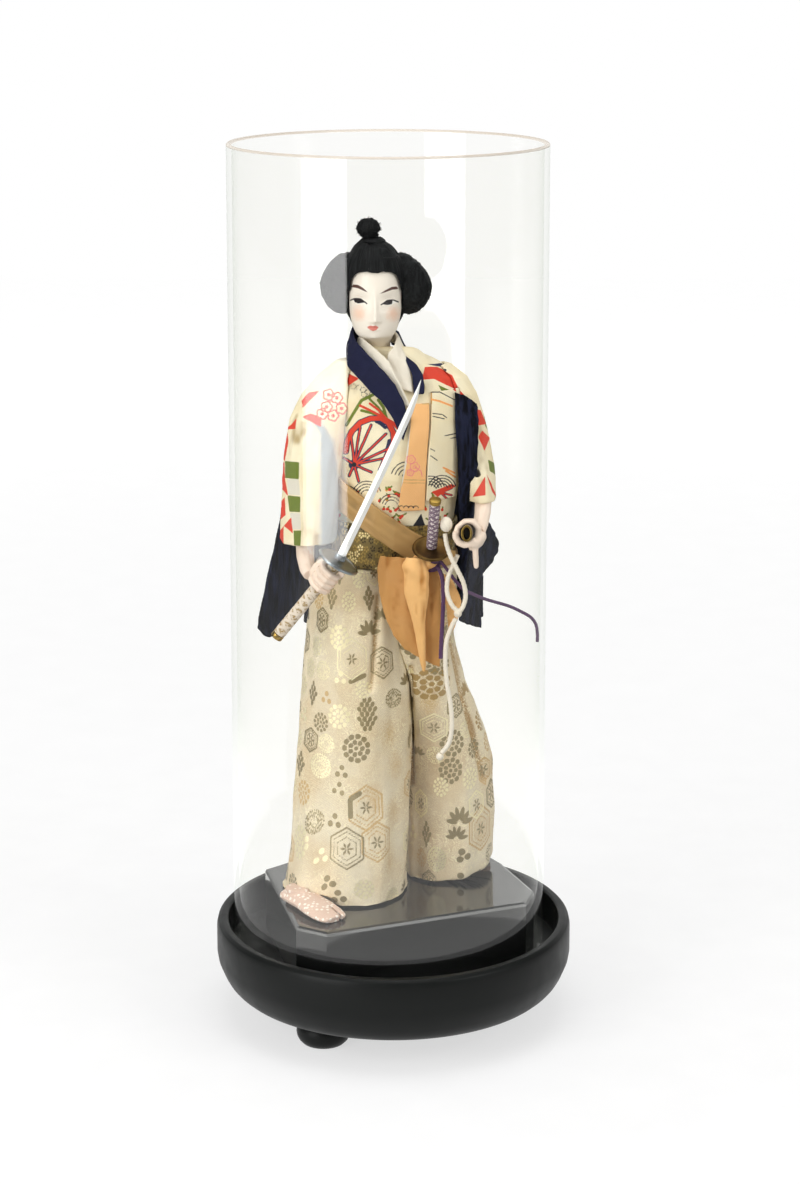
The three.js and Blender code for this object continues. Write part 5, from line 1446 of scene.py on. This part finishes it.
@dataclass
class Hakama:
    """The wide trousers: two stuffed legs of brocade."""

    legs: tuple = (
        Leg("right", (-22, -5), (31, 30), 0, 2.0, ((-7.6, 246, -9.4, 219.6, -11, 202, -12.2, 194),), (
            ("bunch", "taupe", (-13.9, 179.4, 9.6)), ("flower", "taupe", (-20, 160.2, 8.2)),
            ("flower", "bright", (-29.3, 222.9, 7, -30, 178.3, 7, -16.8, 193.6, 5, -44, 118, 7,
                                  -16, 84, 5.5)),
            ("shell", "bright", (-22.7, 210.3, 9.2)), ("shell", "taupe", (-5.6, 208.6, 7.2, -26, 106.8, 8.7)),
            ("shell", "warm", (-14.5, 127.2, 9.3, -8.6, 110.1, 8.2)),
            ("leaves", "taupe", (-12.8, 227.9, 8, -6, 236, 6, 6.8, 199.8, 6)),
            ("discs", "taupe", (-36.5, 88.3, 1.8, -30.6, 79.6, 1.7, -32.6, 120.6, 1.5, -28.8, 146, 1.5,
                                -30, 137, 1.4)),
            ("patch", "warm", (2, 150.8, 8, -2, 168, 6, 0, 126, 7, -11, 130, 8, -2, 100, 6)),
            ("chrysanthemum", "bright", (-40, 150, 7))),
            ((-23.3, 197.6, -15.6, 201.6), (-23.6, 131.4, -23.4, 123.4), (-22.4, 132.4, -18.6, 134.6))),
        Leg("left", (24, 18), (26, 29), 140, 2.8,
            ((31.5, 226, 37.8, 192, 44.4, 170, 50.4, 142.6), (9.5, 205, 8.5, 170, 9, 140)), (
                ("flower", "brown", (21.3, 196.5, 9.5, 47, 176, 6)), ("flower", "bright", (26, 140, 5)),
                ("flower", "taupe", (32.9, 162.9, 7.8, 31.6, 147.6, 7.2)),
                ("shell", "warm", (48.3, 120.6, 9.4)),
                ("leaves", "taupe", (36.2, 126.1, 8, 35.1, 118, 6.5)), ("leaves", "brown", (44, 196, 7)),
                ("chrysanthemum", "bright", (23.5, 104.1, 7.4)), ("shell", "bright", (22, 172, 7)),
                ("discs", "taupe", (38.4, 106.4, 1.9, 37.3, 90, 1.8)),
                ("patch", "warm", (20, 186, 8, 16, 150, 8, 48, 120, 6, 18, 118, 6))), ()))

    def make(self) -> None:
        """Moulds both legs."""
        for leg in self.legs:
            leg.make()


@dataclass
class Sash:
    """The gold obi and the tan sash with its knot and tails."""

    lean: float = 34.0  # degrees that the band's wraps fall to the left
    girth: float = 33.0  # mm, the obi's radius

    def make(self) -> None:
        """Moulds each band and tail."""
        obi = Clay("obi_cloth", 0.6, nodes=("obi_brocade",))
        self.weave(obi)
        obi.push(0.2 * obi.noise(6, 61, 1, 1, 3))
        obi.sheet("gold_brocade", (0.025, 0.195), "laid")
        band = Clay("sash_band_cloth", 0.55)
        x, y, z = band.xyz()
        up = x * math.sin(math.radians(self.lean)) + z * math.cos(math.radians(self.lean))
        wraps = noise(np.stack([x * 0.12, y * 0.12, up], 1), 2.4, 62)
        band.drape(0.5 * wraps + 0.2 * band.noise(6, 63), -0.8, -0.1)
        parts = []
        for name, voxel in (("knot", 0.4), ("tail_front", 0.45), ("tail_back", 0.5), ("tail_side", 0.4)):
            clay = Clay(f"sash_{name}_cloth", voxel, crumbs=True)
            creases = 0.5 * clay.noise(3.0, 64, 1, 1, 0.16)
            if name == "tail_front":
                self.roll(clay)
            clay.drape(creases + 0.15 * clay.noise(2.5, 65), -0.5)
            parts.append(clay)
        knot = parts[0].done("amber_crepe")
        band.sheet("tan_silk", (0.017, 0.21), "laid", "obi_cloth", with_pieces=[knot])
        # the back tail takes the darker copy of amber crepe: painted shade
        for clay, flat, finish in zip(parts[1:], ((0.02, 0.045), (0.032, 0.055), (0.0102, 0.026)),
                                      ("", "orange_crepe", "")):
            clay.sheet("amber_crepe", flat, "hung", "sash_knot_cloth", finish)

    def weave(self, clay: Clay) -> None:
        """Lays small bright and dark flowers on the gold obi.

        Args:
            clay: the obi.
        """
        x, y, z = clay.xyz()
        ink = Ink((np.arctan2(x - 1, -(y + 1)) * self.girth, z), *dict(WEAVE_INKS))
        chance = np.random.default_rng(21)
        for row in range(7):
            for column in range(-26, 27):
                place = (4.2 * (column + 0.5 * (row % 2)) + chance.uniform(-0.8, 0.8),
                         261 + 3.8 * row + chance.uniform(-0.8, 0.8))
                colour = ("bright", "brown", "taupe")[chance.integers(3)]
                ink.petals(colour, place, 0.3, 1.9, 5, 0.5, chance.uniform(0, 6))
        ink.keep(clay)

    def roll(self, clay: Clay) -> None:
        """Rolls the front tail's top and slims its lower half.

        Args:
            clay: the tail.
        """
        u, v = clay.front_view()
        roll = Ink((u, v), "roll")
        roll.draw((("line", "roll", 0, (4, 263.5, 10, 261.5, 15.5, 257.5)),))
        clay.push(1.8 * bell(roll.far["roll"], 0, 3.2))
        line, slim = 11.4 + (263 - v) * 0.066, 0.42 * step(v, 256, 230)
        clay.shift((line - clay.points[:, 0]) * slim)


@dataclass
class Head:
    """The painted head and the wig of black silk. Heights and places in mm."""

    chin: float = 384.8
    nose: float = -9.5
    seam: float = 424.5  # above it the crown is moulded over the skull

    def make(self) -> None:
        """Moulds the head and the hair."""
        self.face()
        self.hair()

    def face(self) -> None:
        """Sculpts and paints the face."""
        clay = Clay("head_moulded", 0.4, 75)
        _, y, z = clay.xyz()
        over_chin = z - self.chin
        under_hair = step(over_chin, 36, 40) + step(y, -4, 2) * step(over_chin, 4, 10)
        clay.push(-np.clip(under_hair, 0, 1))
        u, v = clay.front_view()
        front = step(-clay.normals()[:, 1], 0.1, 0.5)
        ridge = bell(u, self.nose, 1.3 + 0.9 * step(v, 404, 397)) * (0.5 + 1.9 * step(v, 410, 398))
        ridge *= step(v, 394.6, 397.2) * step(v, 416, 411)
        wings = 0.7 * (bell(u, self.nose - 2.3, 1.0) + bell(u, self.nose + 2.3, 1.0)) * bell(v, 396.4, 1.1)
        mouth = bell(u, -10.6, 2.9) * (0.55 * bell(v, 394.2, 0.8) + 0.6 * bell(v, 392.1, 0.8)
                                       - 0.45 * bell(v, 393.2, 0.3))
        chin = 0.7 * bell(u, -9.9, 3.6) * bell(v, 386.6, 2.0)
        sockets = -0.8 * bell(v, 409.0, 2.0) - 0.3 * bell(v, 402.8, 1.4) + 0.4 * bell(v, 406.4, 1.3)
        eyes = sockets * (bell(u, -18.0, 3.8) + bell(u, -2.2, 3.8))
        clay.shift(y=-(ridge + wings + mouth + chin + eyes) * front)
        ink = Ink((u, v), *dict(FACE_INKS))
        ink.draw(FACE)
        ink.far = {name: np.where(front > 0.1, far, 6.0) for name, far in ink.far.items()}
        ink.keep(clay)
        clay.done("painted_face")

    def hair(self) -> None:
        """Combs the crown, the lobes, the back and the topknot."""
        for node, hub, voxel, lean in (
                ("wig_crown", (-11, 0, 443), 0.46, 0), ("wig_lobe_right", (-22, 3, 413), 0.42, 2.5),
                ("wig_lobe_left", (3, 3, 413), 0.42, -5.0), ("wig_back_hair", (-9.6, 12, 440), 0.55, 0),
                ("topknot", (-13, 0, 436), 0.3, 0), ("topknot_tie", (-11.6, 1.5, 440), 0.3, 0)):
            crown, knot = node == "wig_crown", node == "topknot"
            over = ("head", self.seam) if crown else ()
            clay = Clay(node + "_silk", voxel, 6 if crown else 3, True, over=over)
            x, y, z = clay.xyz()
            if lean:
                clay.shift(step(z, 410, 431) * lean)
            if knot:
                ball = step(z, 440, 443)
                clay.shift((x + 13.5) * 0.08 * ball, y * 0.05, (443.6 - z) * 0.1 * ball)
            right, back, up = (clay.points - hub).T
            if lean:
                comb = np.stack([np.hypot(back, up), np.arctan2(back, up) * 0.8, right * 0.3], 1)
            else:
                far = np.linalg.norm(clay.points - hub, axis=1)
                comb = np.stack([np.arctan2(right, -back) * 14, far * 0.06, 0 * right], 1)
            store(clay.mesh, "comb", comb)
            rough = 0.18 * noise(comb * 1.6, 1.0, 71)
            if knot:
                rough += 0.45 * clay.noise(1.7, 72)
            if lean:
                rough += 0.22 * clay.noise(1.3, 73)
            clay.push(rough)
            if knot:
                self.strays(clay, 260, 1.0, 439.5)
            if lean:
                self.strays(clay, 700, 0.45, 0.0)
            clay.done("black_hair")

    def strays(self, clay: Clay, count: int, size: float, low: float) -> None:
        """Adds loose hair ends that stand out of a piece.

        Args:
            clay: the piece.
            count: how many.
            size: their length against those of the topknot.
            low: the height above which they grow, in mm.
        """
        chance = np.random.default_rng(31)
        normals = clay.normals()
        bm = bmesh.new()
        bm.from_mesh(clay.mesh)
        comb = bm.verts.layers.float_vector["comb"]
        for i in chance.choice(np.flatnonzero(clay.points[:, 2] > low), count):
            lean = Vector(normals[i] + chance.uniform(-0.7, 0.7, 3)).normalized()
            length = chance.uniform(0.9, 2.0) * size
            turn = lean.to_track_quat("Z", "Y").to_matrix().to_4x4()
            place = Matrix.Translation((Vector(clay.points[i]) + lean * length * 0.4) * MM) @ turn
            made = bmesh.ops.create_cone(bm, cap_ends=True, segments=4, radius1=0.16 * MM, radius2=0.02 * MM,
                                         depth=length * MM, matrix=place)
            for vert in made["verts"]:
                vert[comb] = (i * 0.37, 0.0, 0.0)
        bm.to_mesh(clay.mesh)
        bm.free()
        clay.mesh.shade_smooth()


@dataclass
class Limbs:
    """Forearms, hands and the split-toed feet."""

    foot_height: float = 0.55  # of the right foot, as a share of the CAD's
    foot_ahead: float = 6.5  # mm that it stands further forward

    def make(self) -> None:
        """Moulds each of them."""
        for name, slot, voxel, relax in (
                ("hand_right", "painted_skin", 0.3, 12), ("hand_left", "painted_skin", 0.3, 40),
                ("forearm_right", "painted_skin", 0.45, 5), ("forearm_left", "painted_skin", 0.45, 5),
                ("foot_right", "sock_cloth", 0.5, 5), ("foot_left", "sock_cloth", 0.5, 5)):
            clay = Clay(name + "_moulded", voxel, relax)
            if name == "foot_right":
                x, y, z = clay.xyz()
                flat = PLINTH_TOP + (z - PLINTH_TOP) * self.foot_height
                clay.set(np.stack([x, y - self.foot_ahead, flat], 1))
            clay.done(slot)


@dataclass
class Swords:
    """Both swords and the scabbard: smooth copies of their solids."""

    rounding: float = 0.25  # mm
    grip_radius: float = 3.0  # mm

    def make(self) -> None:
        """Rounds and dresses each piece."""
        for node, slot in (
                ("katana_grip", "grip_wrap"), ("katana_pommel", "brass"), ("katana_guard", "silver"),
                ("katana_blade_collar", "silver"), ("short_grip", "purple_grip_wrap"),
                ("short_pommel", "brass"), ("short_guard", "bronze"), ("long_scabbard", "scabbard_lacquer"),
                ("scabbard_mouth_ring", "brass")):
            bm = merged((node,))
            bevelled(bm, [e for e in bm.edges if bent(e, 40)], self.rounding, 2)
            piece = from_bmesh(node + "_finished", bm, 40)
            if "grip" in node:
                self.wind(piece)
            dress(piece, slot, Body.KATANA if "katana" in node else Body.DOLL)

    def wind(self, piece: Piece) -> None:
        """Keeps each point's place round and along the grip.

        Args:
            piece: the grip.
        """
        points = read(piece.data, "co")
        off = points - points.mean(0)
        along, right, up = (off @ axis for axis in np.linalg.svd(off, full_matrices=False)[2])
        store(piece.data, "grip", np.stack([along, np.arctan2(up, right) * self.grip_radius, 0 * along], 1))


# Camera, floor and light


@dataclass
class Camera:
    """The photograph's camera: it stands in front and looks down a little."""

    place: tuple = (0.0037, -1.417, 0.613)
    pitch: float = 10.0  # degrees
    focal_px: float = 2645.0
    long_px: float = 1184.0
    sensor: float = 36.0
    shift_y: float = -0.183

    def make(self) -> None:
        """Adds the camera and makes it the scene's."""
        data = bpy.data.cameras.new("camera")
        data.sensor_width = self.sensor
        data.lens = self.focal_px / self.long_px * self.sensor
        data.shift_y = self.shift_y
        data.clip_start = 0.05
        camera = bpy.data.objects.new("camera", data)
        camera.location = self.place
        camera.rotation_euler = (math.radians(90 - self.pitch), 0, 0)
        bpy.context.collection.objects.link(camera)
        bpy.context.scene.camera = camera


@dataclass
class Studio:
    """A white table that ends in front of the doll, a white surround and a tall softbox at the front left."""

    front: float = -0.62  # where the table ends, in m
    reach: float = 3.0
    paper_white: float = 0.35
    glow: tuple = (0.62, 0.8)  # of the table near the doll and far from it, where a lens sees it
    white: float = 1.0
    ambient: float = 0.53
    dark_front: float = 0.1  # what polished things see of the dark room in front
    low: float = 0.2  # what they see of the far table's level, below the horizon
    lamps: tuple = (  # place, size, power in W, and how far above its own height each one's aim lies, in m
        ("softbox_left", (-0.78, -0.79, 0.53), (0.64, 1.02), 8.4, 0.0),
        ("fill_right", (1.3, -0.9, 0.9), (0.9, 0.9), 8.5, -0.3),
        ("top", (0.0, -0.2, 1.7), (1.0, 1.0), 9.0, -1.5))

    def make(self) -> None:
        """Builds the table, the surround and the lamps."""
        bpy.context.scene.view_settings.view_transform = "Standard"
        bm = bmesh.new()
        bmesh.ops.create_grid(bm, x_segments=1, y_segments=1, size=1)
        half = (self.reach - self.front) / 2
        bmesh.ops.scale(bm, vec=(self.reach, half, 1), verts=bm.verts)
        bmesh.ops.translate(bm, vec=(0, self.front + half, 0), verts=bm.verts)
        table = from_bmesh("table", bm)
        table.data.materials.append(self.paper())
        self.surround()
        for name, place, size, power, rise in self.lamps:
            data = bpy.data.lights.new(name, "AREA")
            data.shape = "RECTANGLE"
            data.size, data.size_y = size
            data.energy = power
            lamp = bpy.data.objects.new(name, data)
            lamp.location = place
            aim = Vector((0, 0, place[2] + rise))
            lamp.rotation_euler = (aim - Vector(place)).to_track_quat("-Z", "Y").to_euler()
            bpy.context.collection.objects.link(lamp)

    def paper(self) -> bpy.types.Material:
        """White paper: the farther off, the more it shines, so that it meets the surround.

        Returns:
            The material.
        """
        material = bpy.data.materials.new("white_paper")
        n = Nodes(material)
        n.place = n.add("TexCoord", out="Object")
        tone = n.add("MapRange", (n.add("TexNoise", (n.place, None, 30.0)), 0.0, 1.0,
                                  self.paper_white - 0.02, self.paper_white + 0.02))
        matt = n.add("BsdfDiffuse", (n.add("CombineColor", (tone, tone, tone)),))
        path = n.add("LightPath").node.outputs
        far = n.add("VectorMath", (n.place,), "Value", operation="LENGTH")
        near = n.add("MapRange", (far, 0.25, 0.6, 1.0, 0.0))
        mirrored = n.add("Math", (path["Is Glossy Ray"], near), operation="MULTIPLY")
        seen = n.add("Math", (path["Is Camera Ray"], mirrored), operation="MAXIMUM")
        seen = n.add("Math", (seen, path["Is Transmission Ray"]), operation="MAXIMUM")
        glow = n.add("MapRange", (far, 0.2, 1.8, *self.glow))
        shine = n.add("Emission", ((1, 1, 1, 1), n.add("Math", (seen, glow), operation="MULTIPLY")))
        n.add("OutputMaterial", (n.add("AddShader", (matt, shine)),))
        return material

    def surround(self) -> None:
        """White to the camera, dim to mirrors on the side where the room is dark, and soft light."""
        world = bpy.data.worlds.new("surround")
        bpy.context.scene.world = world
        n = Nodes(world)
        path = n.add("LightPath").node.outputs
        toward = n.add("SeparateXYZ", (n.add("TexCoord", out="Generated"),)).node.outputs
        front = n.add("MapRange", (toward[1], 0.5, 0.75, self.dark_front, self.white))
        level = n.add("MapRange", (toward[2], -0.06, 0.0, self.low, 1.0))
        mirrored = n.add("Math", (front, level), operation="MULTIPLY")
        shiny = n.add("MixRGB", (path["Is Glossy Ray"], (self.ambient,) * 3 + (1,), mirrored))
        through = n.add("Math", (path["Is Camera Ray"], path["Is Transmission Ray"]), operation="MAXIMUM")
        level = n.add("MixRGB", (through, shiny, (self.white,) * 3 + (1,)))
        n.add("OutputWorld", (n.add("Background", ((1, 1, 1, 1), level)),))


def main() -> None:
    """Builds the camera, the cords, the studio and every sub-assembly in order."""
    logging.basicConfig(level=logging.INFO, format="%(message)s")
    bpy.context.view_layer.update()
    MADE.update({finish.name: finish.make() for finish in FINISHES})
    Camera().make()
    for part in frame["record"]["subparts"]:
        for spot in frame["nodes"][part["node"]].material_slots:
            spot.material = MADE[part["material_slot"]]
    for part in (*CORDS, Studio(), TurnedBase(), GlassTube(), Kimono(), Coat(), Hakama(), Sash(), Head(),
                 Limbs(), Swords()):
        part.make()
        LOG.info("%s built", type(part).__name__)


if __name__ == "__main__":
    main()
